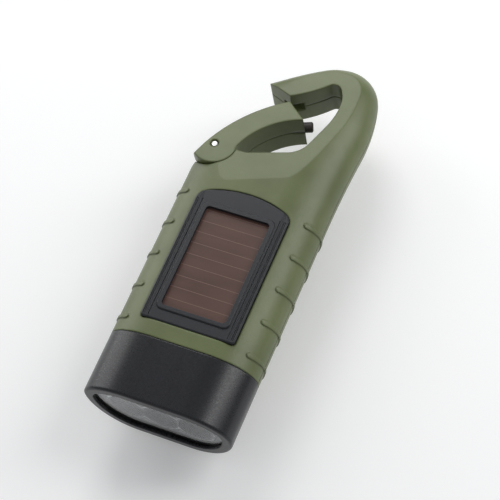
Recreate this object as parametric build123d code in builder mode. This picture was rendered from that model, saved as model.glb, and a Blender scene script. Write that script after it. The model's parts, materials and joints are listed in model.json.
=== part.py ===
from build123d import *
import os
from math import acos, atan2, cos, degrees, pi, radians, sin, tan

# Hand crank flashlight with a solar panel and a carabiner hook, lying on its crank.
# X to the right seen from the solar panel, Y towards the hook, Z up from the crank to the panel.
# Origin: on the crank axis, at the outer face of the crank arm. Millimetres and degrees.
os.makedirs("parts", exist_ok=True)

# ---------------------------------------------------------------- driving sizes: case
CASE_HALF_WIDTH = 24.7     # centre line to the straight sides
FRONT_RISE = 10.15         # parting plane to the flat of the front
REAR_DROP = 16.5           # parting plane to the flat of the back
SIDE_SWEEP = 16.0          # how far the elliptical side roundings reach in
WALL = 2.0                 # case and head wall
JOINT_DISTANCE = 46.0      # crank axis to the joint between case and head
GROOVE_HEIGHT = 0.4        # groove along the parting line
GROOVE_SINK = 0.5
REAR_FLAT_END = 12.0       # where the back starts to slope up to the hook
REAR_SLOPE_LENGTH = 20.0   # length of that slope along Y
TRAY_WALL = 1.5            # wall round the seat of the solar panel
BEARING_RADIUS = 2.2       # bearing posts of the gear train
BEARING_SINK = 1.0         # axle ends let into the rear wall
LEAD_SLOT_WIDTH = 12.0     # slot for the lamp leads
LEAD_SLOT_HEIGHT = 4.0
SOLID_NOSE_UP = 20.0       # the hook is solid left of its limb, this far above the hinge
SOLID_NOSE_INSET = 2.0
RIB_COUNT = 5              # grip ribs on each side
RIB_PITCH = 11.78
RIB_FIRST_Y = 6.24
RIB_HEIGHT = 0.35
RIB_END_INSET = 4.0        # rounded rib end, in from the side
RIB_END_RADIUS = 0.85
RIB_TAIL_HALF = 0.22       # half width of the rib where it wraps the side

# ---------------------------------------------------------------- driving sizes: hook and gate
HINGE_INSET = 6.4          # gate hinge, in from the left side
HINGE_Y = 24.3
HOOK_FRONT_RISE = 8.9      # parting plane to the flat hook facet, at the hinge
HOOK_REAR_DROP = 7.5       # parting plane to the back of the hook
FACET_FALL = 4.86          # slope of the facet
FACET_HEADING = 110.7      # plan direction in which it falls
LIMB_REACH = 10.0          # reach of the rounding round the crown of the hook
# reach and height, front and rear, of the tighter rounding where the nose begins and at its end
NOSE_ROOT_ROUND = (9.0, 8.6, 10.5)
NOSE_END_ROUND = (5.5, 7.0, 7.9)
NOSE_RUN_OUT = 14.0        # how far that rounding runs on past the nose
HEEL_RADIUS = 7.4          # round heel of the gate
HEEL_GAP = 0.35
OPEN_ANGLE = 18.0          # the gate is drawn shut and then swung open by this much
TIP_GAP = 0.6              # shut gate to nose
TIP_OVERHANG = 1.1         # gate tip reaches past the inner corner of the nose
LUG_RISE = 4.0             # case lug between the gate cheeks, above the parting plane
LUG_DROP = 1.5             # and below it, where the spring lies under the lug
LUG_RADIUS = 2.9
LUG_NECK = ((0, 0), (-4.6, -5.9), (-4.9, -9.0), (8.6, -9.4), (8.6, -1.2))   # from the hinge
CHEEK_SLOT = 4.25          # half height of the slot between the cheeks
SLOT_ROUND = 0.2           # slot round the lug
SLOT_REACH = 8.2           # slot that the neck of the lug swings in, gate shut
SLOT_START = 230.0
SLOT_SWEEP = 152.0
HINGE_PIN_RADIUS = 1.2
HINGE_PIN_SINK = 0.35      # pin ends below the gate faces
PIN_RUN = 0.05             # radial running clearance of pins and shafts
PIN_MOUTH_RADIUS = 1.45
PIN_MOUTH_DEPTH = 0.8
SPRING_WIRE = 0.45
SPRING_RADIUS = 1.9
SPRING_PITCH = 0.87
SPRING_TURNS = 2.5
LATCH_RADIUS = 1.75
LATCH_TIP = (17.73, 27.27) # middle of the latch pin's end from the hinge, gate shut
LATCH_TURN = 39.0          # direction that the pin points in, gate shut
LATCH_LENGTH = 7.7
NOTCH_INNER = 28.2         # notch in the nose round the hinge: radii, directions and half height
NOTCH_OUTER = 33.7
NOTCH_START = 44.0
NOTCH_END = 64.0
NOTCH_HALF = 2.1
GATE_HEEL_START = 232.0    # heel arc of the gate, gate shut
GATE_HEEL_SWEEP = 138.0
GATE_THROAT = (6.4, 3.4)   # gate points from the hinge, gate shut
GATE_INNER_MIDDLE = (8.3, 13.3)
GATE_OUTER_MIDDLE = (-0.8, 13.2)
TIP_FILLET = 1.5
GATE_ROUND = 4.0           # reach of the soft outer rounding of the gate
GATE_ROUND_FRONT = 11.0    # its height from the parting plane, front and rear
GATE_ROUND_REAR = 8.5
GATE_RUN_OUT = 6.0         # how far that rounding runs on past the heel and the tip
GATE_SCREW_SPOT = (4.6, 17.0)
GATE_SCREW_SEAT = 18.0     # height of the screw seat above the rest plane
GATE_SCREW_RADIUS = 1.0
GATE_SCREW_HEAD_RADIUS = 1.9
GATE_SCREW_HEAD = 1.4
GATE_SCREW_LENGTH = 7.0
LATCH_EDGE = 0.4
PIN_EDGE = 0.3

# ---------------------------------------------------------------- driving sizes: head and lamps
HEAD_LENGTH = 21.0
HEAD_JOINT_GAP = 0.2
HEAD_SEAT_LIFT = 2.1       # head screw seat above the back of the case
HEAD_SCREW_X = 14.0
HEAD_SCREW_DROP = 3.0      # head screws in front of the joint
REFLECTOR_ROOM = 0.3       # reflector necks to the lamp board
RIM_RECESS = 1.0           # rim to the lens window
RIM_LAND = 3.2             # width of the rim round the window
RIM_FILLET = 0.9
FIT = 0.15                 # clearance of pieces that plug into the head or the case
LENS_THICKNESS = 0.9
SEAL_THICKNESS = 0.4
SEAL_WIDTH = 1.15
CARRIER_THICKNESS = 1.2
SKIRT_INNER_RADIUS = 6.1
SKIRT_OUTER_RADIUS = 7.3
LAMP_PITCH = 11.5
REFLECTOR_MOUTH_RADIUS = 5.45
REFLECTOR_NECK_RADIUS = 2.95
REFLECTOR_DEPTH = 7.6
REFLECTOR_SKIN = 0.5
REFLECTOR_FLANGE_RADIUS = 6.6
REFLECTOR_FLANGE = 0.9
LED_RADIUS = 2.5
LED_FLANGE_RADIUS = 2.85
LED_FLANGE = 1.0
LED_STEM = 2.8             # straight part of the lamp body, in front of its flange
LED_LEAD_RADIUS = 0.25
LED_LEAD_OFFSET = 1.27
LED_LEAD_TAIL = 1.2
BOARD_THICKNESS = 1.2
LED_SCREW_OFFSET = 8.9     # lamp board screws above and below the lamps
LED_BOSS_RADIUS = 1.7
SPIGOT_NOTCH = 1.8          # cut back at the middle for the lamp board screws
SPIGOT_NOTCH_HALF = 3.5
SPIGOT_WALL = 1.7
SKIRT_GAP = 0.4            # skirt end to the lamp board
BOWL_WAIST_RADIUS = 4.75
BOWL_WAIST_DEPTH = 3.6

# ---------------------------------------------------------------- driving sizes: solar panel
BEZEL_HALF_WIDTH = 15.7
BEZEL_BOTTOM_Y = -40.5
BEZEL_SIDE_TOP_Y = 5.8
BEZEL_ARCH = 3.6           # rise of the arched top
BEZEL_TOP_FILLET = 3.5
BEZEL_BOTTOM_FILLET = 1.0
BEZEL_PROUD = 0.25         # bezel above the flat of the front
BEZEL_DEPTH = 3.2
BEZEL_FIT = 0.15
TRAY_FLOOR = 1.5
WINDOW_HALF_WIDTH = 10.8
WINDOW_BOTTOM_Y = -35.3
WINDOW_TOP_Y = 1.3
WINDOW_FILLET = 1.3
LIP_WIDTH = 1.5
LIP_RISE = 0.5
GROOVE_INSETS = (0.7, 1.15, 2.55)   # fine grooves along the side strips, in from the edge
GROOVE_WIDTH = 0.25
GROOVE_DEPTH = 0.3
CELL_RECESS = 1.3          # lip to the cell
CELL_THICKNESS = 1.4
CELL_OVERLAP = 0.8
BEZEL_EDGE = 0.4
LIP_EDGE = 0.3
GROOVE_CENTRE_Y = -18.0
GROOVE_LENGTH = 43.0
CABLE_SLOT_WIDTH = 6.0
CABLE_SLOT_HEIGHT = 2.0
CABLE_SLOT_DROP = 2.0

# ---------------------------------------------------------------- driving sizes: crank
ARM_THICKNESS = 5.0
ARM_GAP = 0.5              # arm to the back of the case
ARM_LENGTH = 38.0          # crank axis to the centre of the arm's end
HUB_RADIUS = 9.0
ARM_END_RADIUS = 7.5
ARM_FILLET = 0.8
KNOB_PIN_Y = 1.0 - ARM_LENGTH
KNOB_LENGTH = 23.0         # hinge to knob tip
KNOB_HALF_WIDTH = 4.3
KNOB_THICKNESS = 4.4
KNOB_ROOM = 0.35
KNOB_PIN_RADIUS = 1.0
KNOB_PIN_HALF = 6.4
KNOB_CORNER = 3.5          # rounding of the knob's tip, seen from the back
KNOB_EDGE = 0.7
THUMB_RADIUS = 3.4
SHAFT_RADIUS = 3.0
SHAFT_SEAT = 2.2           # depth of arm under the crank shaft's end
SHAFT_SQUARE_HALF = 1.9
BUSH_WALL = 1.6
BUSH_FLANGE = 1.0
BUSH_FLANGE_RADIUS = 6.4
CAP_RADIUS = 4.2
CAP_THICKNESS = 0.9
CRANK_SCREW_RADIUS = 1.2
CRANK_SCREW_HEAD_RADIUS = 2.3

# ---------------------------------------------------------------- driving sizes: gears and generator
MODULE = 0.5
PRESSURE = radians(20.0)
ADDENDUM = 0.8
DEDENDUM = 1.3
BACKLASH = 0.12
DRIVE_TEETH = 54
PINION_TEETH = 12
IDLER_TEETH = 42
IDLER_BEARING = -111.0     # direction from crank axis to idler axis
ROTOR_BEARING = -22.0      # direction from idler axis to rotor axis
GEAR_WIDTH = 2.4
DRIVE_HOLES = 6            # lightening holes in the drive gear: count, circle and radius
DRIVE_HOLE_CIRCLE = 7.425
DRIVE_HOLE_RADIUS = 2.43
GEAR_STEP = 0.3            # axial gap between gears and plates
AXLE_RADIUS = 0.75
PLATE_THICKNESS = 1.5
POST_RADIUS = 2.4
POSTS = ((17.0, 2.5), (-17.0, 3.0), (-12.5, -27.8), (16.8, -28.0))
PLATE_MARGIN = 3.0
ROTOR_RADIUS = 7.0
ROTOR_LENGTH = 4.6
ROTOR_EDGE = 0.4
POLE_GAP = 0.6
POLE_WALL = 2.4
POLE_THICKNESS = 3.6
POLE_LIFT = 2.0            # pole pieces above the gear plate
ARM_SPACING = 8.7          # rotor axis to the centre line of each stator arm
YOKE_Y = -36.0
YOKE_HALF = 1.6
POLE_SPLIT = 1.2           # air gap between the two poles
STATOR_SPOTS = ((-2.11, -27.6), (15.29, -24.5))
STATOR_BOSS_RADIUS = 1.6
COIL_RADIUS = 3.9
COIL_HALF = 5.4
BOBBIN_FLANGE = 0.8
BOBBIN_FLANGE_RADIUS = 4.2
BOBBIN_WALL = 0.8

# ---------------------------------------------------------------- driving sizes: electronics
BOARD_HALF_WIDTH = 13.8
BOARD_BOTTOM_Y = -37.0
BOARD_TOP_Y = 13.0
BOARD_DROP = 1.7           # tray floor to the front of the board
BOARD_SCREW_X = 11.6
BOARD_SCREW_YS = (-33.0, -12.0)
BATTERY_RADIUS = 12.2
BATTERY_THICKNESS = 5.0
BATTERY_Y = 2.5
TAB_WIDTH = 3.0
TAB_THICKNESS = 0.3
TAB_STAND = 0.5            # tab stands off the side of the cell
TAB_LENGTH = 8.0
BATTERY_PAD = 0.4
BATTERY_PAD_RADIUS = 9.0
BATTERY_EDGE = 0.8
# parts on the back of the board: x, y, width, length, height
BOARD_PARTS = ((-7.5, -20.0, 5.0, 4.0, 1.5), (-6.5, -28.0, 3.2, 1.6, 1.1), (-11.0, -20.5, 1.6, 3.2, 1.1),
               (3.0, -30.0, 3.0, 2.5, 0.6), (10.0, -20.0, 4.5, 4.5, 2.2))
BUTTON_X = 4.0
BUTTON_ALONG = 9.0         # distance up the rear slope
BUTTON_RADIUS = 4.2
BUTTON_GAP = 0.1
BUTTON_PROUD = 1.2
BUTTON_FLANGE = 0.8
BUTTON_FLANGE_RADIUS = 5.2
BUTTON_FILLET = 0.7
BUTTON_TRAVEL = 1.0
PLUNGER_HALF = 1.3
PLUNGER_SINK = 1.0          # plunger tip inside the switch, button out
PLUNGER_ROOM = 0.15
SWITCH_RISE = 1.4           # switch above the pressed button's flange
SWITCH_HALF = 3.5
SWITCH_HEIGHT = 6.0
EAR_HALF = 8.6
EAR_THICKNESS = 1.2
EAR_SCREW_X = 7.0
SWITCH_POST_RADIUS = 1.6

# ---------------------------------------------------------------- driving sizes: screws
SCREW_RADIUS = 1.3
SCREW_HEAD_RADIUS = 2.4
SCREW_HEAD = 1.8
SCREW_LENGTH = 10.0
SCREW_ROW_INSET = 7.7      # case screws, in from the sides
LOW_SCREW_RISE = 4.6       # above the joint between case and head
RIGHT_SCREW_Y = 10.0
LEFT_SCREW_Y = 10.4
HOOK_SCREWS = ((4.6, 18.0), (20.4, 36.2))   # in from the right side, up from the hinge
SCREW_SEAT_DROP = 4.5      # parting plane to the head seat of the case screws
HOOK_SCREW_SEAT_DROP = 5.5
BOSS_RADIUS = 2.8          # screw bosses in the front shell
REAR_BOSS_RADIUS = 3.5     # counterbored bosses in the rear shell
HEAD_ROOM = 0.15           # clearance round screw heads and shanks
SMALL_SCREW_RADIUS = 0.9
SMALL_HEAD_RADIUS = 1.7
SMALL_HEAD = 1.3
SMALL_SCREW_LENGTH = 4.0
STATOR_HEAD_RADIUS = 1.5
STATOR_SCREW_LENGTH = 6.0
RECESS_WIDTH = 0.7         # cross recess in every screw head
RECESS_SHARE = 1.3         # its length as a share of the head's radius
CUT = 3.0                  # how far cutters stand clear of what they cut

# ---------------------------------------------------------------- places worked out from the sizes
BACK_Z = ARM_THICKNESS + ARM_GAP
PARTING_Z = BACK_Z + REAR_DROP
FRONT_Z = PARTING_Z + FRONT_RISE
HOOK_BACK_Z = PARTING_Z - HOOK_REAR_DROP
JOINT_Y = -JOINT_DISTANCE
RIM_Y = JOINT_Y - HEAD_LENGTH
HINGE_X = HINGE_INSET - CASE_HALF_WIDTH
LAMP_Z = PARTING_Z + (FRONT_RISE - REAR_DROP) / 2
BIG = 6 * CASE_HALF_WIDTH  # size of cutters that reach past everything
STANDING = (Align.CENTER, Align.CENTER, Align.MIN)
HANGING = (Align.CENTER, Align.CENTER, Align.MAX)


def from_side(inset, up):
    """Plan point of the hook's right limb: in from the right side, up from the hinge."""
    return (CASE_HALF_WIDTH - inset, HINGE_Y + up)


def from_hinge(right, up):
    """Plan point of the nose, measured from the hinge."""
    return (HINGE_X + right, HINGE_Y + up)


LIMB_START = from_side(0.0, -12.3)
LIMB_MIDDLE = from_side(-1.2, 15.7)
LIMB_TOP = from_side(0.4, 34.0)
CROWN_TOP = from_side(14.5, 43.2)
TOP_EDGE_START = from_side(20.8, 41.0)
TOP_EDGE_END = from_hinge(11.2, 33.9)
NOSE_FRONT = from_hinge(7.4, 30.3)
NOSE_OUTER = from_hinge(7.9, 28.3)
NOSE_INNER = from_hinge(16.0, 25.2)
EYE_TOP_MIDDLE = from_hinge(21.5, 28.6)
EYE_TOP_END = from_side(16.4, 33.1)
EYE_CORNER_END = from_side(12.1, 32.8)
EYE_RIGHT_TOP = from_side(10.0, 26.9)
EYE_RIGHT_MIDDLE = from_side(11.2, 17.4)
EYE_RIGHT_LOW = from_side(14.0, 9.0)
EYE_LOW_RIGHT = from_side(19.8, 3.6)
EYE_LOW_LEFT = from_hinge(11.3, -0.3)
SHOULDER = (-CASE_HALF_WIDTH, HINGE_Y - 8.3)
SOLID_NOSE_Y = HINGE_Y + SOLID_NOSE_UP
SOLID_NOSE_RIGHT = EYE_RIGHT_TOP[0] - SOLID_NOSE_INSET


def polar(radius, angle):
    """Plan vector of a length and a direction in degrees."""
    return (radius * cos(radians(angle)), radius * sin(radians(angle)))


def write_piece(piece, name):
    """Label a finished piece and write its STEP file."""
    piece.part.label = name
    export_step(piece.part, f"parts/{name}.step")


# ---------------------------------------------------------------- shapes shared by case, head and gate
def case_outline():
    """Case seen from the front: straight sides, hook, eye and the round seat of the gate heel."""
    with BuildSketch(Plane.XY) as outline:
        with BuildLine():
            side = Line((CASE_HALF_WIDTH, JOINT_Y), LIMB_START)
            edge = side
            for corner in (LIMB_MIDDLE, LIMB_TOP, CROWN_TOP, TOP_EDGE_START, TOP_EDGE_END,
                           NOSE_FRONT, NOSE_OUTER):
                edge = TangentArc(edge @ 1, corner, tangent=edge % 1)
            Line(NOSE_OUTER, NOSE_INNER)
            edge = ThreePointArc(NOSE_INNER, EYE_TOP_MIDDLE, EYE_TOP_END)
            for corner in (EYE_CORNER_END, EYE_RIGHT_TOP, EYE_RIGHT_MIDDLE, EYE_RIGHT_LOW,
                           EYE_LOW_RIGHT):
                edge = TangentArc(edge @ 1, corner, tangent=edge % 1)
            low = Line(EYE_LOW_RIGHT, EYE_LOW_LEFT)
            seat = CenterArc((HINGE_X, HINGE_Y), HEEL_RADIUS + HEEL_GAP, -2, -126)
            Line(low @ 1, seat @ 0)
            Polyline(seat @ 1, SHOULDER, (-CASE_HALF_WIDTH, JOINT_Y), side @ 0)
        make_face()
    return outline.sketch


def groove_ring(outline, plane):
    """Ring on a plane that cuts the parting groove into an outline from outside."""
    with BuildSketch(Plane.XY) as core:
        add(outline)
        offset(amount=-GROOVE_SINK, kind=Kind.INTERSECTION)
    with BuildSketch(plane) as ring:
        Rectangle(BIG, BIG)
        add(core.sketch, mode=Mode.SUBTRACT)
    return ring.sketch


def rim_plane(path, at, side, face):
    """Plane across a path: X points outwards, Y away from the parting plane."""
    start, run = path @ at, path % at
    return Plane(origin=(start.X, start.Y, PARTING_Z), x_dir=(side * run.Y, -side * run.X, 0),
                 z_dir=(-side * face * run.X, -side * face * run.Y, 0))


def rounding_profile(plane, spread, height, inset, reach):
    """Everything outside a quarter ellipse, to be swept along a rim."""
    turn = 90.0 if reach >= spread else degrees(acos((spread - reach) / (spread - inset)))
    with BuildSketch(plane) as profile:
        with BuildLine():
            arc = EllipticalCenterArc((-spread, 0), spread - inset, height - inset,
                                      start_angle=0, arc_size=turn)
            inner_x = (arc @ 1).X
            Polyline(arc @ 1, (inner_x, height + CUT), (CUT, height + CUT), (CUT, 0), arc @ 0)
        make_face()
    return profile.sketch


def rim_paths():
    """The three stretches of rim that are rounded: right side, crown of the hook, left side."""
    with BuildLine(Plane.XY.offset(PARTING_Z)) as right:
        straight = Line((CASE_HALF_WIDTH, JOINT_Y - CUT), LIMB_START)
        limb = TangentArc(straight @ 1, LIMB_MIDDLE, tangent=straight % 1)
    with BuildLine(Plane.XY.offset(PARTING_Z)) as crown:
        upper = TangentArc(LIMB_MIDDLE, LIMB_TOP, tangent=limb % 1)
        TangentArc(upper @ 1, CROWN_TOP, tangent=upper % 1)
    with BuildLine(Plane.XY.offset(PARTING_Z)) as left:
        Line((-CASE_HALF_WIDTH, JOINT_Y - CUT), (-CASE_HALF_WIDTH, HINGE_Y + HEEL_RADIUS))
    return ((right.wires()[0], 1, SIDE_SWEEP), (crown.wires()[0], 1, LIMB_REACH),
            (left.wires()[0], -1, SIDE_SWEEP))


def nose_rounding(face):
    """Cutter for the rim from the crown to past the nose, where the rounding gets tighter."""
    start = rim_paths()[1][0] % 1
    with BuildLine() as line:
        root = TangentArc(CROWN_TOP, TOP_EDGE_START, tangent=start)
        top = TangentArc(root @ 1, TOP_EDGE_END, tangent=root % 1)
        run_out = Line(top @ 1, top @ 1 + NOSE_RUN_OUT * (top % 1))
    crown_height, side = (FRONT_RISE, 1) if face > 0 else (REAR_DROP, 2)
    sections = [rounding_profile(rim_plane(root, 0, 1, face), SIDE_SWEEP, crown_height, 0, LIMB_REACH)]
    stations = ((top, 0, NOSE_ROOT_ROUND), (run_out, 0, NOSE_END_ROUND), (run_out, 1, NOSE_END_ROUND))
    for edge, at, sizes in stations:
        sections.append(rounding_profile(rim_plane(edge, at, 1, face), sizes[0], sizes[side], 0, sizes[0]))
    path = Pos(0, 0, PARTING_Z) * line.wires()[0]
    return sweep(sections=sections, path=path, multisection=True, mode=Mode.PRIVATE)


def facet_plane(swing, inset):
    """Flat, gently falling front of the hook, turned with the gate about the hinge by swing."""
    fall = tan(radians(FACET_FALL))
    along = polar(fall, FACET_HEADING + swing)
    drop = inset / cos(radians(FACET_FALL))
    return Plane(origin=(HINGE_X, HINGE_Y, PARTING_Z + HOOK_FRONT_RISE - drop),
                 z_dir=(along[0], along[1], 1))


def rear_slope(inset):
    """Side view of what the slope and the thin hook leave off the back of the case."""
    angle = atan2(REAR_DROP - HOOK_REAR_DROP, REAR_SLOPE_LENGTH)
    shift = inset * tan(angle / 2)
    far_y = CROWN_TOP[1] + CUT
    with BuildSketch(Plane.YZ.offset(-CASE_HALF_WIDTH - 2 * CUT)) as side_view:
        with BuildLine():
            Polyline((REAR_FLAT_END - shift, BACK_Z + inset),
                     (REAR_FLAT_END + REAR_SLOPE_LENGTH - shift, HOOK_BACK_Z + inset),
                     (far_y, HOOK_BACK_Z + inset), (far_y, BACK_Z - CUT),
                     (REAR_FLAT_END - shift, BACK_Z - CUT), close=True)
        make_face()
    return side_view.sketch


def case_form(inset):
    """Solid outer form of the case and hook or, with an inset, the hollow inside its walls."""
    with BuildPart() as form:
        with BuildSketch(Plane.XY.offset(PARTING_Z)) as plan:
            add(case_outline())
            if inset > 0:
                # the hook stays solid left of its limb
                with Locations((SOLID_NOSE_RIGHT, SOLID_NOSE_Y)):
                    Rectangle(BIG, BIG, align=(Align.MAX, Align.MIN), mode=Mode.SUBTRACT)
                offset(amount=-inset, kind=Kind.INTERSECTION)
        extrude(amount=FRONT_RISE - inset)
        extrude(plan.sketch, amount=inset - REAR_DROP)
        for face, height in ((1, FRONT_RISE), (-1, REAR_DROP)):
            for path, side, reach in rim_paths():
                profile = rounding_profile(rim_plane(path, 0, side, face), SIDE_SWEEP, height, inset, reach)
                sweep(sections=profile, path=path, mode=Mode.SUBTRACT)
            if inset == 0:
                add(nose_rounding(face), mode=Mode.SUBTRACT)
        extrude(rear_slope(inset), amount=2 * (CASE_HALF_WIDTH + 3 * CUT), mode=Mode.SUBTRACT)
        split(bisect_by=facet_plane(0, inset), keep=Keep.BOTTOM)
    return form.part


def section_face(inset, y):
    """Oval cross-section of the straight case and of the head, facing the lens."""
    half = CASE_HALF_WIDTH - SIDE_SWEEP
    width = SIDE_SWEEP - inset
    rise, drop = FRONT_RISE - inset, REAR_DROP - inset
    with BuildSketch(Plane(origin=(0, y, PARTING_Z), x_dir=(1, 0, 0), z_dir=(0, -1, 0))) as section:
        with BuildLine():
            right_front = EllipticalCenterArc((half, 0), width, rise, start_angle=0, arc_size=90)
            left_front = EllipticalCenterArc((-half, 0), width, rise, start_angle=90, arc_size=90)
            left_rear = EllipticalCenterArc((-half, 0), width, drop, start_angle=180, arc_size=90)
            right_rear = EllipticalCenterArc((half, 0), width, drop, start_angle=270, arc_size=90)
            Line(right_front @ 1, left_front @ 0)
            Line(left_rear @ 1, right_rear @ 0)
        make_face()
    return section.sketch


# ---------------------------------------------------------------- screws, used by several places
def screw(radius, head_radius, head, length):
    """Pan head screw with a cross recess, head down at Z 0, shank up."""
    with BuildPart(mode=Mode.PRIVATE) as piece:
        with BuildSketch() as head_plan:
            Circle(head_radius)
        extrude(amount=-head)
        fillet(piece.faces().sort_by(Axis.Z)[0].edges(), radius=head / 3)
        with BuildSketch() as shank_plan:
            Circle(radius)
        extrude(amount=length)
        chamfer(piece.faces().sort_by(Axis.Z)[-1].edges(), length=radius / 3)
        with BuildSketch(Plane.XY.offset(-head)) as recess:
            Rectangle(RECESS_SHARE * head_radius, RECESS_WIDTH)
            Rectangle(RECESS_WIDTH, RECESS_SHARE * head_radius)
        extrude(amount=head / 2, mode=Mode.SUBTRACT)
    return piece.part


CASE_SCREW = screw(SCREW_RADIUS, SCREW_HEAD_RADIUS, SCREW_HEAD, SCREW_LENGTH)
SMALL_SCREW = screw(SMALL_SCREW_RADIUS, SMALL_HEAD_RADIUS, SMALL_HEAD, SMALL_SCREW_LENGTH)
STATOR_SCREW = screw(SMALL_SCREW_RADIUS, STATOR_HEAD_RADIUS, SMALL_HEAD, STATOR_SCREW_LENGTH)

# case screws: x, y and the height of the seat under the head
SCREW_ROW_X = CASE_HALF_WIDTH - SCREW_ROW_INSET
LOW_SCREW_Y = JOINT_Y + LOW_SCREW_RISE
CASE_SEAT_Z = PARTING_Z - SCREW_SEAT_DROP
HOOK_SEAT_Z = PARTING_Z - HOOK_SCREW_SEAT_DROP
ALL_SCREW_PLACES = [(SCREW_ROW_X, LOW_SCREW_Y, CASE_SEAT_Z), (-SCREW_ROW_X, LOW_SCREW_Y, CASE_SEAT_Z),
                    (SCREW_ROW_X, RIGHT_SCREW_Y, CASE_SEAT_Z), (-SCREW_ROW_X, LEFT_SCREW_Y, CASE_SEAT_Z)]
ALL_SCREW_PLACES += [(*from_side(inset, up), HOOK_SEAT_Z) for inset, up in HOOK_SCREWS]

with BuildPart() as case_screws:
    with Locations(*ALL_SCREW_PLACES):
        add(CASE_SCREW)
write_piece(case_screws, "case_screws")


# ---------------------------------------------------------------- solar panel outline and its heights
BEZEL_TOP_Z = FRONT_Z + BEZEL_PROUD
BEZEL_SEAT_Z = BEZEL_TOP_Z - BEZEL_DEPTH
TRAY_Z = BEZEL_SEAT_Z - TRAY_FLOOR
CELL_TOP_Z = BEZEL_TOP_Z + LIP_RISE - CELL_RECESS
CELL_BACK_Z = CELL_TOP_Z - CELL_THICKNESS
WINDOW_CENTRE_Y = (WINDOW_BOTTOM_Y + WINDOW_TOP_Y) / 2
WINDOW_LENGTH = WINDOW_TOP_Y - WINDOW_BOTTOM_Y
BOARD_FRONT_Z = TRAY_Z - BOARD_DROP
BOARD_BACK_Z = BOARD_FRONT_Z - BOARD_THICKNESS
BOARD_CENTRE_Y = (BOARD_BOTTOM_Y + BOARD_TOP_Y) / 2
BOARD_LENGTH = BOARD_TOP_Y - BOARD_BOTTOM_Y


def bezel_outline(grow, z):
    """Panel outline: straight sides, square foot, arched top."""
    half = BEZEL_HALF_WIDTH + grow
    side_top, foot = BEZEL_SIDE_TOP_Y + grow, BEZEL_BOTTOM_Y - grow
    with BuildSketch(Plane.XY.offset(z)) as outline:
        with BuildLine():
            Polyline((-half, side_top), (-half, foot), (half, foot), (half, side_top))
            ThreePointArc((half, side_top), (0, side_top + BEZEL_ARCH), (-half, side_top))
        make_face()
        fillet(outline.vertices().group_by(Axis.Y)[-1], radius=BEZEL_TOP_FILLET + grow)
        fillet(outline.vertices().group_by(Axis.Y)[0], radius=BEZEL_BOTTOM_FILLET + grow)
    return outline.sketch


def window_outline(grow, z):
    """Panel window or a ring edge round it."""
    with BuildSketch(Plane.XY.offset(z)) as outline:
        with Locations((0, WINDOW_CENTRE_Y)):
            RectangleRounded(2 * (WINDOW_HALF_WIDTH + grow), WINDOW_LENGTH + 2 * grow,
                             WINDOW_FILLET + grow / 2)
    return outline.sketch


# ---------------------------------------------------------------- gears: axes, phases and heights
CRANK_AXIS = (0.0, 0.0)
IDLER_DISTANCE = MODULE * (DRIVE_TEETH + PINION_TEETH) / 2
ROTOR_DISTANCE = MODULE * (IDLER_TEETH + PINION_TEETH) / 2
IDLER_AXIS = polar(IDLER_DISTANCE, IDLER_BEARING)
ROTOR_STEP = polar(ROTOR_DISTANCE, ROTOR_BEARING)
ROTOR_AXIS = (IDLER_AXIS[0] + ROTOR_STEP[0], IDLER_AXIS[1] + ROTOR_STEP[1])
HALF_TOOTH = 180.0 / PINION_TEETH
INNER_BACK_Z = BACK_Z + WALL
DRIVE_Z = INNER_BACK_Z + BUSH_FLANGE + GEAR_STEP
IDLER_GEAR_Z = DRIVE_Z + GEAR_WIDTH + GEAR_STEP
PLATE_Z = IDLER_GEAR_Z + GEAR_WIDTH + GEAR_STEP
PLATE_TOP_Z = PLATE_Z + PLATE_THICKNESS


def gear_face(teeth, phase, axis, z):
    """Involute spur gear: each flank is drawn as chords between root, base, pitch and tip circles."""
    pitch_radius = MODULE * teeth / 2
    base_radius = pitch_radius * cos(PRESSURE)
    root_radius = pitch_radius - DEDENDUM * MODULE
    tip_radius = pitch_radius + ADDENDUM * MODULE
    half_tooth = pi / (2 * teeth) - BACKLASH / (2 * pitch_radius)
    radii = sorted({root_radius, max(base_radius, root_radius), pitch_radius, tip_radius})

    def flank(radius):
        roll = acos(base_radius / max(radius, base_radius))
        return half_tooth + tan(PRESSURE) - PRESSURE - (tan(roll) - roll)

    points = []
    for tooth in range(teeth):
        centre = radians(phase) + 2 * pi * tooth / teeth
        for radius in radii:
            points.append((radius * cos(centre - flank(radius)), radius * sin(centre - flank(radius))))
        for radius in reversed(radii):
            points.append((radius * cos(centre + flank(radius)), radius * sin(centre + flank(radius))))
    with BuildSketch(Plane(origin=(axis[0], axis[1], z))) as face:
        with BuildLine():
            Polyline(*points, close=True)
        make_face()
    return face.sketch


def disc(radius, axis, z):
    """Round face on an axis parallel to Z."""
    with BuildSketch(Plane(origin=(axis[0], axis[1], z))) as face:
        Circle(radius)
    return face.sketch


# ---------------------------------------------------------------- crank, its arm and its folding knob
ARM_MIDDLE_Z = ARM_THICKNESS / 2
SLOT_HALF_WIDTH = KNOB_HALF_WIDTH + KNOB_ROOM
KNOB_ROOT_RADIUS = KNOB_THICKNESS / 2
SLOT_OUTER_Y = KNOB_PIN_Y - KNOB_ROOT_RADIUS - KNOB_ROOM
KNOB_TIP_Y = KNOB_PIN_Y + KNOB_LENGTH
SLOT_INNER_Y = KNOB_TIP_Y + KNOB_ROOM


def arm_outline(grow):
    """Crank arm seen along its axis: a hub and an end joined by tangents."""
    lean = acos((HUB_RADIUS - ARM_END_RADIUS) / ARM_LENGTH)
    side_x, side_y = sin(lean), -cos(lean)
    hub, end = HUB_RADIUS + grow, ARM_END_RADIUS + grow
    with BuildSketch(Plane.XY) as outline:
        Circle(hub)
        with Locations((0, -ARM_LENGTH)):
            Circle(end)
        with BuildLine():
            Polyline((hub * side_x, hub * side_y), (end * side_x, end * side_y - ARM_LENGTH),
                     (-end * side_x, end * side_y - ARM_LENGTH), (-hub * side_x, hub * side_y),
                     close=True)
        make_face()
    return outline.sketch


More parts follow.
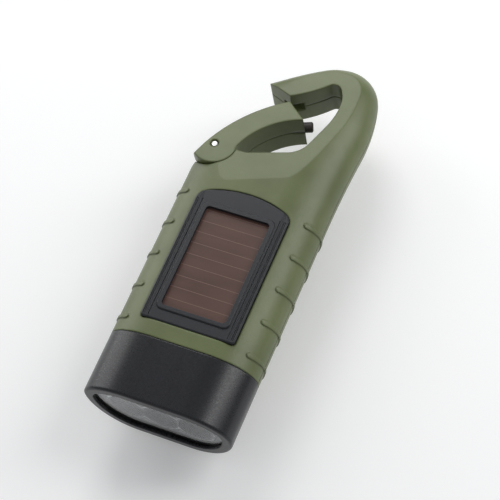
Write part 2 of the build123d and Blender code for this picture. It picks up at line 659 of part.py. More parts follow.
with BuildPart() as crank_arm:
    add(arm_outline(0))
    extrude(amount=ARM_THICKNESS)
    fillet(crank_arm.faces().sort_by(Axis.Z)[0].edges(), radius=ARM_FILLET)
    with BuildSketch(Plane.XY) as knob_slot:
        with Locations((0, (SLOT_OUTER_Y + SLOT_INNER_Y) / 2)):
            Rectangle(2 * SLOT_HALF_WIDTH, SLOT_INNER_Y - SLOT_OUTER_Y)
        with Locations((0, SLOT_INNER_Y)):
            Circle(THUMB_RADIUS)
    extrude(amount=ARM_THICKNESS, mode=Mode.SUBTRACT)
    with BuildSketch(Plane.YZ) as knob_pin_bore:
        with Locations((KNOB_PIN_Y, ARM_MIDDLE_Z)):
            Circle(KNOB_PIN_RADIUS)
    extrude(amount=KNOB_PIN_HALF, mode=Mode.SUBTRACT)
    extrude(knob_pin_bore.sketch, amount=-ARM_LENGTH, mode=Mode.SUBTRACT)
    add(disc(CAP_RADIUS + PIN_RUN, CRANK_AXIS, 0))
    extrude(amount=CAP_THICKNESS, mode=Mode.SUBTRACT)
    add(disc(CRANK_SCREW_HEAD_RADIUS + PIN_RUN, CRANK_AXIS, 0))
    extrude(amount=SHAFT_SEAT, mode=Mode.SUBTRACT)
    with BuildSketch(Plane.XY.offset(SHAFT_SEAT)) as square_socket:
        Rectangle(2 * SHAFT_SQUARE_HALF, 2 * SHAFT_SQUARE_HALF)
    extrude(amount=ARM_THICKNESS, mode=Mode.SUBTRACT)
write_piece(crank_arm, "crank_arm")

with BuildPart() as crank_knob:
    with BuildSketch(Plane.YZ) as knob_side:
        with Locations((KNOB_PIN_Y, ARM_MIDDLE_Z)):
            Circle(KNOB_ROOT_RADIUS)
        with Locations(((KNOB_PIN_Y + KNOB_TIP_Y) / 2, ARM_MIDDLE_Z)):
            Rectangle(KNOB_LENGTH, KNOB_THICKNESS)
    extrude(amount=KNOB_HALF_WIDTH, both=True)
    fillet(crank_knob.edges().filter_by(Axis.Z).group_by(Axis.Y)[-1], radius=KNOB_CORNER)
    fillet(crank_knob.faces().sort_by(Axis.Z)[0].edges() + crank_knob.faces().sort_by(Axis.Z)[-1].edges(),
           radius=KNOB_EDGE)
    with BuildSketch(Plane.YZ) as knob_bore:
        with Locations((KNOB_PIN_Y, ARM_MIDDLE_Z)):
            Circle(KNOB_PIN_RADIUS + PIN_RUN)
    extrude(amount=KNOB_HALF_WIDTH, both=True, mode=Mode.SUBTRACT)
write_piece(crank_knob, "crank_knob")

with BuildPart() as knob_pin:
    with BuildSketch(Plane.YZ) as knob_pin_face:
        with Locations((KNOB_PIN_Y, ARM_MIDDLE_Z)):
            Circle(KNOB_PIN_RADIUS)
    extrude(amount=KNOB_PIN_HALF, both=True)
write_piece(knob_pin, "knob_pin")

with BuildPart() as crank_hub_cap:
    add(disc(CAP_RADIUS, CRANK_AXIS, 0))
    extrude(amount=CAP_THICKNESS)
write_piece(crank_hub_cap, "crank_hub_cap")

CRANK_SCREW_LENGTH = DRIVE_Z - SHAFT_SEAT
CRANK_SCREW_HEAD = SHAFT_SEAT - CAP_THICKNESS
with BuildPart() as crank_screw:
    with Locations((0, 0, SHAFT_SEAT)):
        add(screw(CRANK_SCREW_RADIUS, CRANK_SCREW_HEAD_RADIUS, CRANK_SCREW_HEAD, CRANK_SCREW_LENGTH))
write_piece(crank_screw, "crank_screw")

with BuildPart() as crank_shaft:
    with BuildSketch(Plane.XY.offset(SHAFT_SEAT)) as square_end:
        Rectangle(2 * SHAFT_SQUARE_HALF, 2 * SHAFT_SQUARE_HALF)
    extrude(amount=ARM_THICKNESS - SHAFT_SEAT)
    add(disc(SHAFT_RADIUS, CRANK_AXIS, ARM_THICKNESS))
    extrude(amount=DRIVE_Z - ARM_THICKNESS)
    with BuildSketch(Plane.XY.offset(DRIVE_Z)) as gear_seat:
        Rectangle(2 * SHAFT_SQUARE_HALF, 2 * SHAFT_SQUARE_HALF)
    extrude(amount=GEAR_WIDTH)
    add(disc(SHAFT_SQUARE_HALF - PIN_RUN, CRANK_AXIS, DRIVE_Z + GEAR_WIDTH))
    extrude(amount=PLATE_TOP_Z - DRIVE_Z - GEAR_WIDTH)
    add(disc(CRANK_SCREW_RADIUS, CRANK_AXIS, SHAFT_SEAT))
    extrude(amount=CRANK_SCREW_LENGTH, mode=Mode.SUBTRACT)
write_piece(crank_shaft, "crank_shaft")

with BuildPart() as crank_bush:
    add(disc(SHAFT_RADIUS + BUSH_WALL, CRANK_AXIS, BACK_Z))
    extrude(amount=WALL + BUSH_FLANGE)
    add(disc(BUSH_FLANGE_RADIUS, CRANK_AXIS, INNER_BACK_Z))
    extrude(amount=BUSH_FLANGE)
    add(disc(SHAFT_RADIUS + PIN_RUN, CRANK_AXIS, BACK_Z))
    extrude(amount=WALL + BUSH_FLANGE, mode=Mode.SUBTRACT)
write_piece(crank_bush, "crank_bush")

# ---------------------------------------------------------------- gear train
with BuildPart() as drive_gear:
    add(gear_face(DRIVE_TEETH, IDLER_BEARING, CRANK_AXIS, DRIVE_Z))
    extrude(amount=GEAR_WIDTH)
    with BuildSketch(Plane.XY.offset(DRIVE_Z)) as drive_socket:
        Rectangle(2 * SHAFT_SQUARE_HALF, 2 * SHAFT_SQUARE_HALF)
        with PolarLocations(DRIVE_HOLE_CIRCLE, DRIVE_HOLES):
            Circle(DRIVE_HOLE_RADIUS)
    extrude(amount=GEAR_WIDTH, mode=Mode.SUBTRACT)
write_piece(drive_gear, "drive_gear")

with BuildPart() as idler_gear:
    add(gear_face(PINION_TEETH, IDLER_BEARING + 180 + HALF_TOOTH, IDLER_AXIS, DRIVE_Z))
    extrude(amount=IDLER_GEAR_Z - DRIVE_Z)
    add(gear_face(IDLER_TEETH, ROTOR_BEARING, IDLER_AXIS, IDLER_GEAR_Z))
    extrude(amount=GEAR_WIDTH)
    add(disc(AXLE_RADIUS + PIN_RUN, IDLER_AXIS, DRIVE_Z))
    extrude(amount=IDLER_GEAR_Z - DRIVE_Z + GEAR_WIDTH, mode=Mode.SUBTRACT)
write_piece(idler_gear, "idler_gear")

AXLE_FOOT_Z = INNER_BACK_Z
with BuildPart() as idler_axle:
    add(disc(AXLE_RADIUS, IDLER_AXIS, AXLE_FOOT_Z))
    extrude(amount=PLATE_TOP_Z - AXLE_FOOT_Z)
write_piece(idler_axle, "idler_axle")

ROTOR_Z = PLATE_TOP_Z + POLE_LIFT + (POLE_THICKNESS - ROTOR_LENGTH) / 2
with BuildPart() as rotor_pinion:
    add(gear_face(PINION_TEETH, ROTOR_BEARING + 180 + HALF_TOOTH, ROTOR_AXIS, IDLER_GEAR_Z))
    extrude(amount=GEAR_WIDTH)
    add(disc(AXLE_RADIUS, ROTOR_AXIS, IDLER_GEAR_Z))
    extrude(amount=GEAR_WIDTH, mode=Mode.SUBTRACT)
write_piece(rotor_pinion, "rotor_pinion")

with BuildPart() as rotor_shaft:
    add(disc(AXLE_RADIUS, ROTOR_AXIS, AXLE_FOOT_Z))
    extrude(amount=ROTOR_Z + ROTOR_LENGTH + GEAR_STEP - AXLE_FOOT_Z)
write_piece(rotor_shaft, "rotor_shaft")

with BuildPart() as rotor_magnet:
    add(disc(ROTOR_RADIUS, ROTOR_AXIS, ROTOR_Z))
    extrude(amount=ROTOR_LENGTH)
    chamfer(rotor_magnet.edges(), length=ROTOR_EDGE)
    add(disc(AXLE_RADIUS, ROTOR_AXIS, ROTOR_Z))
    extrude(amount=ROTOR_LENGTH, mode=Mode.SUBTRACT)
write_piece(rotor_magnet, "rotor_magnet")

with BuildPart() as gear_plate:
    with BuildSketch(Plane.XY.offset(PLATE_Z)) as plate_plan:
        with BuildLine():
            Polyline(*POSTS, close=True)
        make_face()
        offset(amount=PLATE_MARGIN, kind=Kind.ARC)
    extrude(amount=PLATE_THICKNESS)
    with BuildSketch(Plane.XY.offset(PLATE_Z)) as plate_bores:
        with Locations(CRANK_AXIS):
            Circle(SHAFT_SQUARE_HALF)
        with Locations(IDLER_AXIS):
            Circle(AXLE_RADIUS)
        with Locations(ROTOR_AXIS):
            Circle(AXLE_RADIUS + PIN_RUN)
        with Locations(*POSTS):
            Circle(SMALL_SCREW_RADIUS)
    extrude(amount=PLATE_THICKNESS, mode=Mode.SUBTRACT)
    with BuildSketch(Plane.XY.offset(PLATE_TOP_Z)) as stator_bosses:
        with Locations(*STATOR_SPOTS):
            Circle(STATOR_BOSS_RADIUS)
    extrude(amount=POLE_LIFT)
    with Locations(*[(x, y, PLATE_TOP_Z + POLE_LIFT) for x, y in STATOR_SPOTS]):
        Cylinder(SMALL_SCREW_RADIUS, 2 * (STATOR_SCREW_LENGTH - POLE_THICKNESS), mode=Mode.SUBTRACT)
write_piece(gear_plate, "gear_plate")

with BuildPart() as gear_plate_screws:
    for post in POSTS:
        with Locations(Location((post[0], post[1], PLATE_TOP_Z), (180, 0, 0))):
            add(SMALL_SCREW)
write_piece(gear_plate_screws, "gear_plate_screws")

# ---------------------------------------------------------------- generator: stator, bobbin and winding
POLE_Z = PLATE_TOP_Z + POLE_LIFT
POLE_INNER_RADIUS = ROTOR_RADIUS + POLE_GAP
with BuildPart() as stator_core:
    with BuildSketch(Plane(origin=(ROTOR_AXIS[0], ROTOR_AXIS[1], POLE_Z))) as poles:
        yoke_y = YOKE_Y - ROTOR_AXIS[1]
        Circle(POLE_INNER_RADIUS + POLE_WALL)
        with Locations((-ARM_SPACING, yoke_y / 2), (ARM_SPACING, yoke_y / 2)):
            Rectangle(2 * YOKE_HALF, -yoke_y + 2 * YOKE_HALF)
        with Locations((0, yoke_y)):
            Rectangle(2 * ARM_SPACING, 2 * YOKE_HALF)
        Circle(POLE_INNER_RADIUS, mode=Mode.SUBTRACT)
        Rectangle(POLE_SPLIT, 4 * POLE_INNER_RADIUS, mode=Mode.SUBTRACT)
        with Locations((0, yoke_y)):
            Rectangle(2 * ARM_SPACING, 2 * YOKE_HALF)
    extrude(amount=POLE_THICKNESS)
    with Locations(*[(x, y, POLE_Z) for x, y in STATOR_SPOTS]):
        Cylinder(SMALL_SCREW_RADIUS, 2 * POLE_THICKNESS, mode=Mode.SUBTRACT)
write_piece(stator_core, "stator_core")

BOBBIN_AXIS = Plane(origin=(ROTOR_AXIS[0], YOKE_Y, POLE_Z + POLE_THICKNESS / 2), x_dir=(0, 1, 0),
                    z_dir=(1, 0, 0))
with BuildPart() as coil_bobbin:
    with BuildSketch(BOBBIN_AXIS) as bobbin_core:
        Rectangle(2 * (YOKE_HALF + BOBBIN_WALL), POLE_THICKNESS + 2 * BOBBIN_WALL)
    extrude(amount=COIL_HALF + BOBBIN_FLANGE, both=True)
    for end in (-1, 1):
        with BuildSketch(BOBBIN_AXIS.offset(end * COIL_HALF)) as bobbin_flange:
            Circle(BOBBIN_FLANGE_RADIUS)
        extrude(amount=end * BOBBIN_FLANGE)
    with BuildSketch(BOBBIN_AXIS) as bobbin_bore:
        Rectangle(2 * YOKE_HALF, POLE_THICKNESS)
    extrude(amount=COIL_HALF + BOBBIN_FLANGE, both=True, mode=Mode.SUBTRACT)
write_piece(coil_bobbin, "coil_bobbin")

with BuildPart() as coil_winding:
    with BuildSketch(BOBBIN_AXIS) as winding_section:
        Circle(COIL_RADIUS)
        Rectangle(2 * (YOKE_HALF + BOBBIN_WALL), POLE_THICKNESS + 2 * BOBBIN_WALL, mode=Mode.SUBTRACT)
    extrude(amount=COIL_HALF, both=True)
write_piece(coil_winding, "coil_winding")

# ---------------------------------------------------------------- push button and switch on the rear slope
SLOPE_ANGLE = atan2(REAR_DROP - HOOK_REAR_DROP, REAR_SLOPE_LENGTH)
BUTTON_Y = REAR_FLAT_END + BUTTON_ALONG * cos(SLOPE_ANGLE)
BUTTON_Z = BACK_Z + BUTTON_ALONG * sin(SLOPE_ANGLE)
BUTTON_PLANE = Plane(origin=(BUTTON_X, BUTTON_Y, BUTTON_Z), x_dir=(1, 0, 0),
                     z_dir=(0, -sin(SLOPE_ANGLE), cos(SLOPE_ANGLE)))
FLANGE_TOP = WALL + BUTTON_FLANGE + PIN_RUN
SWITCH_BASE = FLANGE_TOP + BUTTON_TRAVEL + SWITCH_RISE

with BuildPart() as switch_button:
    with BuildSketch(BUTTON_PLANE.offset(-BUTTON_PROUD)) as button_cap:
        Circle(BUTTON_RADIUS)
    extrude(amount=BUTTON_PROUD + WALL + PIN_RUN)
    fillet(switch_button.edges().sort_by(Axis(BUTTON_PLANE.origin, BUTTON_PLANE.z_dir))[0],
           radius=BUTTON_FILLET)
    with BuildSketch(BUTTON_PLANE.offset(WALL + PIN_RUN)) as button_flange:
        Circle(BUTTON_FLANGE_RADIUS)
    extrude(amount=BUTTON_FLANGE)
write_piece(switch_button, "switch_button")

with BuildPart() as switch_plunger:
    with BuildSketch(BUTTON_PLANE.offset(FLANGE_TOP)) as plunger_section:
        Rectangle(2 * PLUNGER_HALF, 2 * PLUNGER_HALF)
    extrude(amount=SWITCH_BASE - FLANGE_TOP + PLUNGER_SINK)
write_piece(switch_plunger, "switch_plunger")

with BuildPart() as push_switch:
    with BuildSketch(BUTTON_PLANE.offset(SWITCH_BASE)) as switch_body:
        Rectangle(2 * SWITCH_HALF, 2 * SWITCH_HALF)
    extrude(amount=SWITCH_HEIGHT)
    with BuildSketch(BUTTON_PLANE.offset(SWITCH_BASE)) as switch_ears:
        Rectangle(2 * EAR_HALF, 2 * SWITCH_HALF)
        with Locations((-EAR_SCREW_X, 0), (EAR_SCREW_X, 0)):
            Circle(SMALL_SCREW_RADIUS, mode=Mode.SUBTRACT)
    extrude(amount=EAR_THICKNESS)
    with BuildSketch(BUTTON_PLANE.offset(SWITCH_BASE)) as switch_well:
        Rectangle(2 * PLUNGER_HALF + 2 * PLUNGER_ROOM, 2 * PLUNGER_HALF + 2 * PLUNGER_ROOM)
    extrude(amount=PLUNGER_SINK + BUTTON_TRAVEL + PLUNGER_ROOM, mode=Mode.SUBTRACT)
write_piece(push_switch, "push_switch")

EAR_TOP = SWITCH_BASE + EAR_THICKNESS
EAR_SCREW_SPOTS = [BUTTON_PLANE.location * Location((side * EAR_SCREW_X, 0, EAR_TOP), (180, 0, 0))
                   for side in (-1, 1)]
with BuildPart() as switch_screws:
    with Locations(*EAR_SCREW_SPOTS):
        add(SMALL_SCREW)
write_piece(switch_screws, "switch_screws")

# ---------------------------------------------------------------- case: ribs, lug, bosses and two shells
HEAD_SCREW_Y = JOINT_Y - HEAD_SCREW_DROP
LENS_FRONT_Y = RIM_Y + RIM_RECESS
SEAL_FRONT_Y = LENS_FRONT_Y + LENS_THICKNESS
CARRIER_FRONT_Y = SEAL_FRONT_Y + SEAL_THICKNESS
STACK_BACK_Y = CARRIER_FRONT_Y + REFLECTOR_DEPTH + BOARD_THICKNESS + REFLECTOR_ROOM
BOARD_SCREW_SPOTS = [(x, y) for x in (-BOARD_SCREW_X, BOARD_SCREW_X) for y in BOARD_SCREW_YS]

with BuildPart() as grip_ribs:
    with BuildSketch(Plane.XY) as rib_plan:
        for rib_side in (-1, 1):
            for index in range(RIB_COUNT):
                rib_y = RIB_FIRST_Y - index * RIB_PITCH
                end_x = rib_side * (CASE_HALF_WIDTH - RIB_END_INSET)
                tail_x = rib_side * (CASE_HALF_WIDTH + CUT)
                with Locations((end_x, rib_y)):
                    Circle(RIB_END_RADIUS)
                with BuildLine():
                    Polyline((end_x, rib_y + RIB_END_RADIUS), (tail_x, rib_y + RIB_TAIL_HALF),
                             (tail_x, rib_y - RIB_TAIL_HALF), (end_x, rib_y - RIB_END_RADIUS), close=True)
                make_face()
    extrude(amount=FRONT_Z + CUT)
    extrude(section_face(-RIB_HEIGHT, LIMB_START[1]), amount=LIMB_START[1] - JOINT_Y, mode=Mode.INTERSECT)

with BuildPart() as lug:
    with BuildSketch(Plane(origin=(HINGE_X, HINGE_Y, PARTING_Z - LUG_DROP))) as lug_plan:
        Circle(LUG_RADIUS)
        with BuildLine():
            Polyline(*LUG_NECK, close=True)
        make_face()
    extrude(amount=LUG_DROP + LUG_RISE)

with BuildPart() as hollow:
    add(case_form(WALL))
    with Locations(*[(x, y, BACK_Z) for x, y, seat in ALL_SCREW_PLACES]):
        Cylinder(REAR_BOSS_RADIUS, REAR_DROP, align=STANDING, mode=Mode.SUBTRACT)
    with Locations(*[(x, y, PARTING_Z) for x, y, seat in ALL_SCREW_PLACES]):
        Cylinder(BOSS_RADIUS, FRONT_RISE, align=STANDING, mode=Mode.SUBTRACT)
    with Locations(*[(x, y, BACK_Z) for x, y in POSTS]):
        Cylinder(POST_RADIUS, PLATE_Z - BACK_Z, align=STANDING, mode=Mode.SUBTRACT)
    with Locations((*IDLER_AXIS, BACK_Z)):
        Cylinder(BEARING_RADIUS, DRIVE_Z - GEAR_STEP - BACK_Z, align=STANDING, mode=Mode.SUBTRACT)
    with Locations((*ROTOR_AXIS, BACK_Z)):
        Cylinder(BEARING_RADIUS, IDLER_GEAR_Z - GEAR_STEP - BACK_Z,
                 align=STANDING, mode=Mode.SUBTRACT)
    with BuildSketch(BUTTON_PLANE.offset(WALL / 2)) as switch_posts:
        with Locations((-EAR_SCREW_X, 0), (EAR_SCREW_X, 0)):
            Circle(SWITCH_POST_RADIUS)
    extrude(amount=SWITCH_BASE - WALL / 2, mode=Mode.SUBTRACT)
    extrude(bezel_outline(BEZEL_FIT + TRAY_WALL, TRAY_Z), amount=FRONT_RISE, mode=Mode.SUBTRACT)
    with Locations(*[(x, y, BOARD_FRONT_Z) for x, y in BOARD_SCREW_SPOTS]):
        Cylinder(SMALL_HEAD_RADIUS, FRONT_RISE, align=STANDING, mode=Mode.SUBTRACT)

with BuildPart() as pierced:
    # hinge pin hole in the lug
    with Locations((HINGE_X, HINGE_Y, PARTING_Z)):
        Cylinder(HINGE_PIN_RADIUS, 2 * LUG_RISE + CUT)
    # notch in the nose for the latch pin
    with BuildSketch(Plane(origin=(HINGE_X, HINGE_Y, PARTING_Z - NOTCH_HALF))) as notch_plan:
        Circle(NOTCH_OUTER)
        Circle(NOTCH_INNER, mode=Mode.SUBTRACT)
        with BuildLine():
            Polyline((0, 0), polar(2 * NOTCH_OUTER, NOTCH_START), polar(2 * NOTCH_OUTER, NOTCH_END),
                     close=True)
        make_face(mode=Mode.INTERSECT)
    extrude(amount=2 * NOTCH_HALF)
    # thin groove along the parting line
    extrude(groove_ring(case_outline(), Plane.XY.offset(PARTING_Z - GROOVE_HEIGHT / 2)), amount=GROOVE_HEIGHT)

with BuildPart() as case_shell:
    add(case_form(0))
    add(grip_ribs.part)
    add(hollow.part, mode=Mode.SUBTRACT)
    add(lug.part)
    add(pierced.part, mode=Mode.SUBTRACT)
    # oval spigot that carries the head, with a wall behind it
    spigot_length = JOINT_Y - STACK_BACK_Y
    extrude(section_face(WALL + FIT, JOINT_Y + WALL), amount=WALL + spigot_length)
    extrude(section_face(WALL + FIT + SPIGOT_WALL, JOINT_Y), amount=spigot_length + CUT, mode=Mode.SUBTRACT)
    with Locations((0, STACK_BACK_Y, PARTING_Z)):
        Box(2 * SPIGOT_NOTCH_HALF, 2 * SPIGOT_NOTCH, BIG, mode=Mode.SUBTRACT)
    with Locations((0, JOINT_Y, LAMP_Z)):
        Box(LEAD_SLOT_WIDTH, 2 * (WALL + CUT), LEAD_SLOT_HEIGHT, mode=Mode.SUBTRACT)
    with Locations(*[(side * HEAD_SCREW_X, HEAD_SCREW_Y, BACK_Z) for side in (-1, 1)]):
        Cylinder(SMALL_SCREW_RADIUS, PARTING_Z - BACK_Z - CUT, align=STANDING, mode=Mode.SUBTRACT)

with BuildPart() as front_shell:
    add(case_shell.part)
    split(bisect_by=Plane.XY.offset(PARTING_Z), keep=Keep.TOP)
    extrude(bezel_outline(BEZEL_FIT, BEZEL_SEAT_Z), amount=FRONT_RISE, mode=Mode.SUBTRACT)
    with Locations(*[(x, y, PARTING_Z) for x, y, seat in ALL_SCREW_PLACES]):
        Cylinder(SCREW_RADIUS, 2 * (SCREW_LENGTH - SCREW_SEAT_DROP) + PIN_RUN, mode=Mode.SUBTRACT)
    with Locations(*[(x, y, BOARD_FRONT_Z) for x, y in BOARD_SCREW_SPOTS]):
        Cylinder(SMALL_SCREW_RADIUS, 2 * (SMALL_SCREW_LENGTH - BOARD_THICKNESS), mode=Mode.SUBTRACT)
    with Locations((0, BEZEL_SIDE_TOP_Y - CABLE_SLOT_DROP, BEZEL_SEAT_Z)):
        Box(CABLE_SLOT_WIDTH, CABLE_SLOT_HEIGHT, 2 * (TRAY_FLOOR + CUT), mode=Mode.SUBTRACT)
write_piece(front_shell, "front_shell")

with BuildPart() as rear_shell:
    add(case_shell.part)
    split(bisect_by=Plane.XY.offset(PARTING_Z), keep=Keep.BOTTOM)
    for screw_x, screw_y, seat_z in ALL_SCREW_PLACES:
        with Locations((screw_x, screw_y, seat_z)):
            Cylinder(SCREW_RADIUS + HEAD_ROOM, 2 * REAR_DROP, mode=Mode.SUBTRACT)
            Cylinder(SCREW_HEAD_RADIUS + HEAD_ROOM, REAR_DROP, align=HANGING, mode=Mode.SUBTRACT)
    with Locations(*[(x, y, PLATE_Z) for x, y in POSTS]):
        Cylinder(SMALL_SCREW_RADIUS, 2 * (SMALL_SCREW_LENGTH - PLATE_THICKNESS), mode=Mode.SUBTRACT)
    with Locations((*CRANK_AXIS, BACK_Z)):
        Cylinder(SHAFT_RADIUS + BUSH_WALL, 2 * (WALL + CUT), mode=Mode.SUBTRACT)
    with Locations((*IDLER_AXIS, INNER_BACK_Z - BEARING_SINK)):
        Cylinder(AXLE_RADIUS, REAR_DROP / 2, align=STANDING, mode=Mode.SUBTRACT)
    with Locations((*ROTOR_AXIS, INNER_BACK_Z - BEARING_SINK)):
        Cylinder(AXLE_RADIUS + PIN_RUN, REAR_DROP / 2, align=STANDING, mode=Mode.SUBTRACT)
    with BuildSketch(BUTTON_PLANE.offset(-CUT)) as button_hole:
        Circle(BUTTON_RADIUS + BUTTON_GAP)
    extrude(amount=WALL + CUT + CUT, mode=Mode.SUBTRACT)
    with BuildSketch(BUTTON_PLANE.offset(SWITCH_BASE)) as ear_holes:
        with Locations((-EAR_SCREW_X, 0), (EAR_SCREW_X, 0)):
            Circle(SMALL_SCREW_RADIUS)
    extrude(amount=EAR_THICKNESS - SMALL_SCREW_LENGTH, mode=Mode.SUBTRACT)
write_piece(rear_shell, "rear_shell")

# ---------------------------------------------------------------- head: shell, window, carrier, reflector
LAMP_BOARD_Y = STACK_BACK_Y - BOARD_THICKNESS
LAMP_XS = (-LAMP_PITCH, 0.0, LAMP_PITCH)
LED_SCREW_ZS = (LAMP_Z - LED_SCREW_OFFSET, LAMP_Z + LED_SCREW_OFFSET)
HEAD_SEAT_Z = BACK_Z + HEAD_SEAT_LIFT


def lamp_plane(y):
    """Plane across the head that looks backwards, X to the left, centred between the lamps."""
    return Plane(origin=(0, y, LAMP_Z), x_dir=(-1, 0, 0), z_dir=(0, 1, 0))


def stadium(radius, y):
    """Long round-ended shape round all three lamps."""
    with BuildSketch(lamp_plane(y)) as shape:
        SlotCenterToCenter(2 * LAMP_PITCH, 2 * radius)
    return shape.sketch


with BuildPart() as lamp_head:
    extrude(section_face(0, JOINT_Y - HEAD_JOINT_GAP), amount=HEAD_LENGTH - HEAD_JOINT_GAP)
    fillet(lamp_head.faces().sort_by(Axis.Y)[0].edges(), radius=RIM_FILLET)
    extrude(section_face(WALL, JOINT_Y), amount=HEAD_LENGTH - RIM_RECESS, mode=Mode.SUBTRACT)
    extrude(section_face(RIM_LAND, JOINT_Y), amount=HEAD_LENGTH + CUT, mode=Mode.SUBTRACT)
    for side in (-1, 1):
        with Locations((side * HEAD_SCREW_X, HEAD_SCREW_Y, HEAD_SEAT_Z)):
            Cylinder(SMALL_SCREW_RADIUS + HEAD_ROOM, 2 * CUT, mode=Mode.SUBTRACT)
            Cylinder(SMALL_HEAD_RADIUS + HEAD_ROOM, 2 * CUT, align=HANGING, mode=Mode.SUBTRACT)
write_piece(lamp_head, "lamp_head")

with BuildPart() as head_screws:
    with Locations(*[(side * HEAD_SCREW_X, HEAD_SCREW_Y, HEAD_SEAT_Z) for side in (-1, 1)]):
        add(SMALL_SCREW)
write_piece(head_screws, "head_screws")

with BuildPart() as lens_window:
    extrude(section_face(WALL + FIT, SEAL_FRONT_Y), amount=LENS_THICKNESS)
write_piece(lens_window, "lens_window")

with BuildPart() as lens_seal:
    extrude(section_face(WALL + FIT, CARRIER_FRONT_Y), amount=SEAL_THICKNESS)
    extrude(section_face(WALL + FIT + SEAL_WIDTH, CARRIER_FRONT_Y), amount=SEAL_THICKNESS, mode=Mode.SUBTRACT)
write_piece(lens_seal, "lens_seal")

with BuildPart() as lamp_carrier:
    extrude(section_face(WALL + FIT, CARRIER_FRONT_Y + CARRIER_THICKNESS), amount=CARRIER_THICKNESS)
    extrude(stadium(SKIRT_OUTER_RADIUS, CARRIER_FRONT_Y), amount=LAMP_BOARD_Y - SKIRT_GAP - CARRIER_FRONT_Y)
    with BuildSketch(lamp_plane(CARRIER_FRONT_Y)) as carrier_bosses:
        with Locations((0, LED_SCREW_OFFSET), (0, -LED_SCREW_OFFSET)):
            Circle(LED_BOSS_RADIUS)
    extrude(amount=LAMP_BOARD_Y - CARRIER_FRONT_Y)
    extrude(stadium(REFLECTOR_FLANGE_RADIUS + FIT, CARRIER_FRONT_Y), amount=REFLECTOR_FLANGE,
            mode=Mode.SUBTRACT)
    extrude(stadium(SKIRT_INNER_RADIUS, CARRIER_FRONT_Y), amount=LAMP_BOARD_Y - CARRIER_FRONT_Y,
            mode=Mode.SUBTRACT)
    with BuildSketch(lamp_plane(LAMP_BOARD_Y)) as carrier_screw_holes:
        with Locations((0, LED_SCREW_OFFSET), (0, -LED_SCREW_OFFSET)):
            Circle(SMALL_SCREW_RADIUS)
    extrude(amount=BOARD_THICKNESS - SMALL_SCREW_LENGTH, mode=Mode.SUBTRACT)
write_piece(lamp_carrier, "lamp_carrier")

with BuildPart() as bowl:
    with BuildSketch(Plane(origin=(0, CARRIER_FRONT_Y, LAMP_Z))) as bowl_side:
        with BuildLine():
            wall_line = Spline((REFLECTOR_NECK_RADIUS, REFLECTOR_DEPTH),
                               (BOWL_WAIST_RADIUS, BOWL_WAIST_DEPTH), (REFLECTOR_MOUTH_RADIUS, 0))
            Line(wall_line @ 1, (REFLECTOR_MOUTH_RADIUS + REFLECTOR_SKIN, 0))
            back_line = Spline((REFLECTOR_MOUTH_RADIUS + REFLECTOR_SKIN, 0),
                               (BOWL_WAIST_RADIUS + REFLECTOR_SKIN, BOWL_WAIST_DEPTH),
                               (REFLECTOR_NECK_RADIUS + REFLECTOR_SKIN, REFLECTOR_DEPTH))
            Line(back_line @ 1, wall_line @ 0)
        make_face()
    revolve(axis=Axis((0, CARRIER_FRONT_Y, LAMP_Z), (0, 1, 0)))

with BuildPart() as reflector:
    extrude(stadium(REFLECTOR_FLANGE_RADIUS, CARRIER_FRONT_Y), amount=REFLECTOR_FLANGE)
    with BuildSketch(lamp_plane(CARRIER_FRONT_Y)) as mouths:
        with Locations(*[(x, 0) for x in LAMP_XS]):
            Circle(REFLECTOR_MOUTH_RADIUS + REFLECTOR_SKIN / 2)
    extrude(amount=REFLECTOR_FLANGE, mode=Mode.SUBTRACT)
    with Locations(*[(x, 0, 0) for x in LAMP_XS]):
        add(bowl.part)
write_piece(reflector, "reflector")

with BuildPart(mode=Mode.PRIVATE) as lamp:
    with BuildSketch(Plane.XY) as lamp_side:
        with BuildLine():
            Polyline((0, 0), (LED_FLANGE_RADIUS, 0), (LED_FLANGE_RADIUS, LED_FLANGE),
                     (LED_RADIUS, LED_FLANGE), (LED_RADIUS, LED_FLANGE + LED_STEM))
            CenterArc((0, LED_FLANGE + LED_STEM), LED_RADIUS, 0, 90)
            Line((0, LED_FLANGE + LED_STEM + LED_RADIUS), (0, 0))
        make_face()
    revolve(axis=Axis.Y)
    with BuildSketch(Plane.XZ) as lamp_leads:
        with Locations((-LED_LEAD_OFFSET, 0), (LED_LEAD_OFFSET, 0)):
            Circle(LED_LEAD_RADIUS)
    extrude(amount=BOARD_THICKNESS + LED_LEAD_TAIL)

for lamp_x, lamp_name in zip(LAMP_XS, ("left", "centre", "right")):
    with BuildPart() as led:
        with Locations(Location((lamp_x, LAMP_BOARD_Y, LAMP_Z), (180, 0, 0))):
            add(lamp.part)
    write_piece(led, f"led_{lamp_name}")

with BuildPart() as led_board:
    extrude(section_face(WALL + FIT, STACK_BACK_Y), amount=BOARD_THICKNESS)
    with BuildSketch(lamp_plane(LAMP_BOARD_Y)) as led_board_holes:
        with Locations((0, LED_SCREW_OFFSET), (0, -LED_SCREW_OFFSET)):
            Circle(SMALL_SCREW_RADIUS)
        with Locations(*[(x + lead, 0) for x in LAMP_XS for lead in (-LED_LEAD_OFFSET, LED_LEAD_OFFSET)]):
            Circle(LED_LEAD_RADIUS)
    extrude(amount=BOARD_THICKNESS, mode=Mode.SUBTRACT)
write_piece(led_board, "led_board")

with BuildPart() as led_board_screws:
    with Locations(*[Location((0, STACK_BACK_Y, z), (90, 0, 0)) for z in LED_SCREW_ZS]):
        add(SMALL_SCREW)
write_piece(led_board_screws, "led_board_screws")

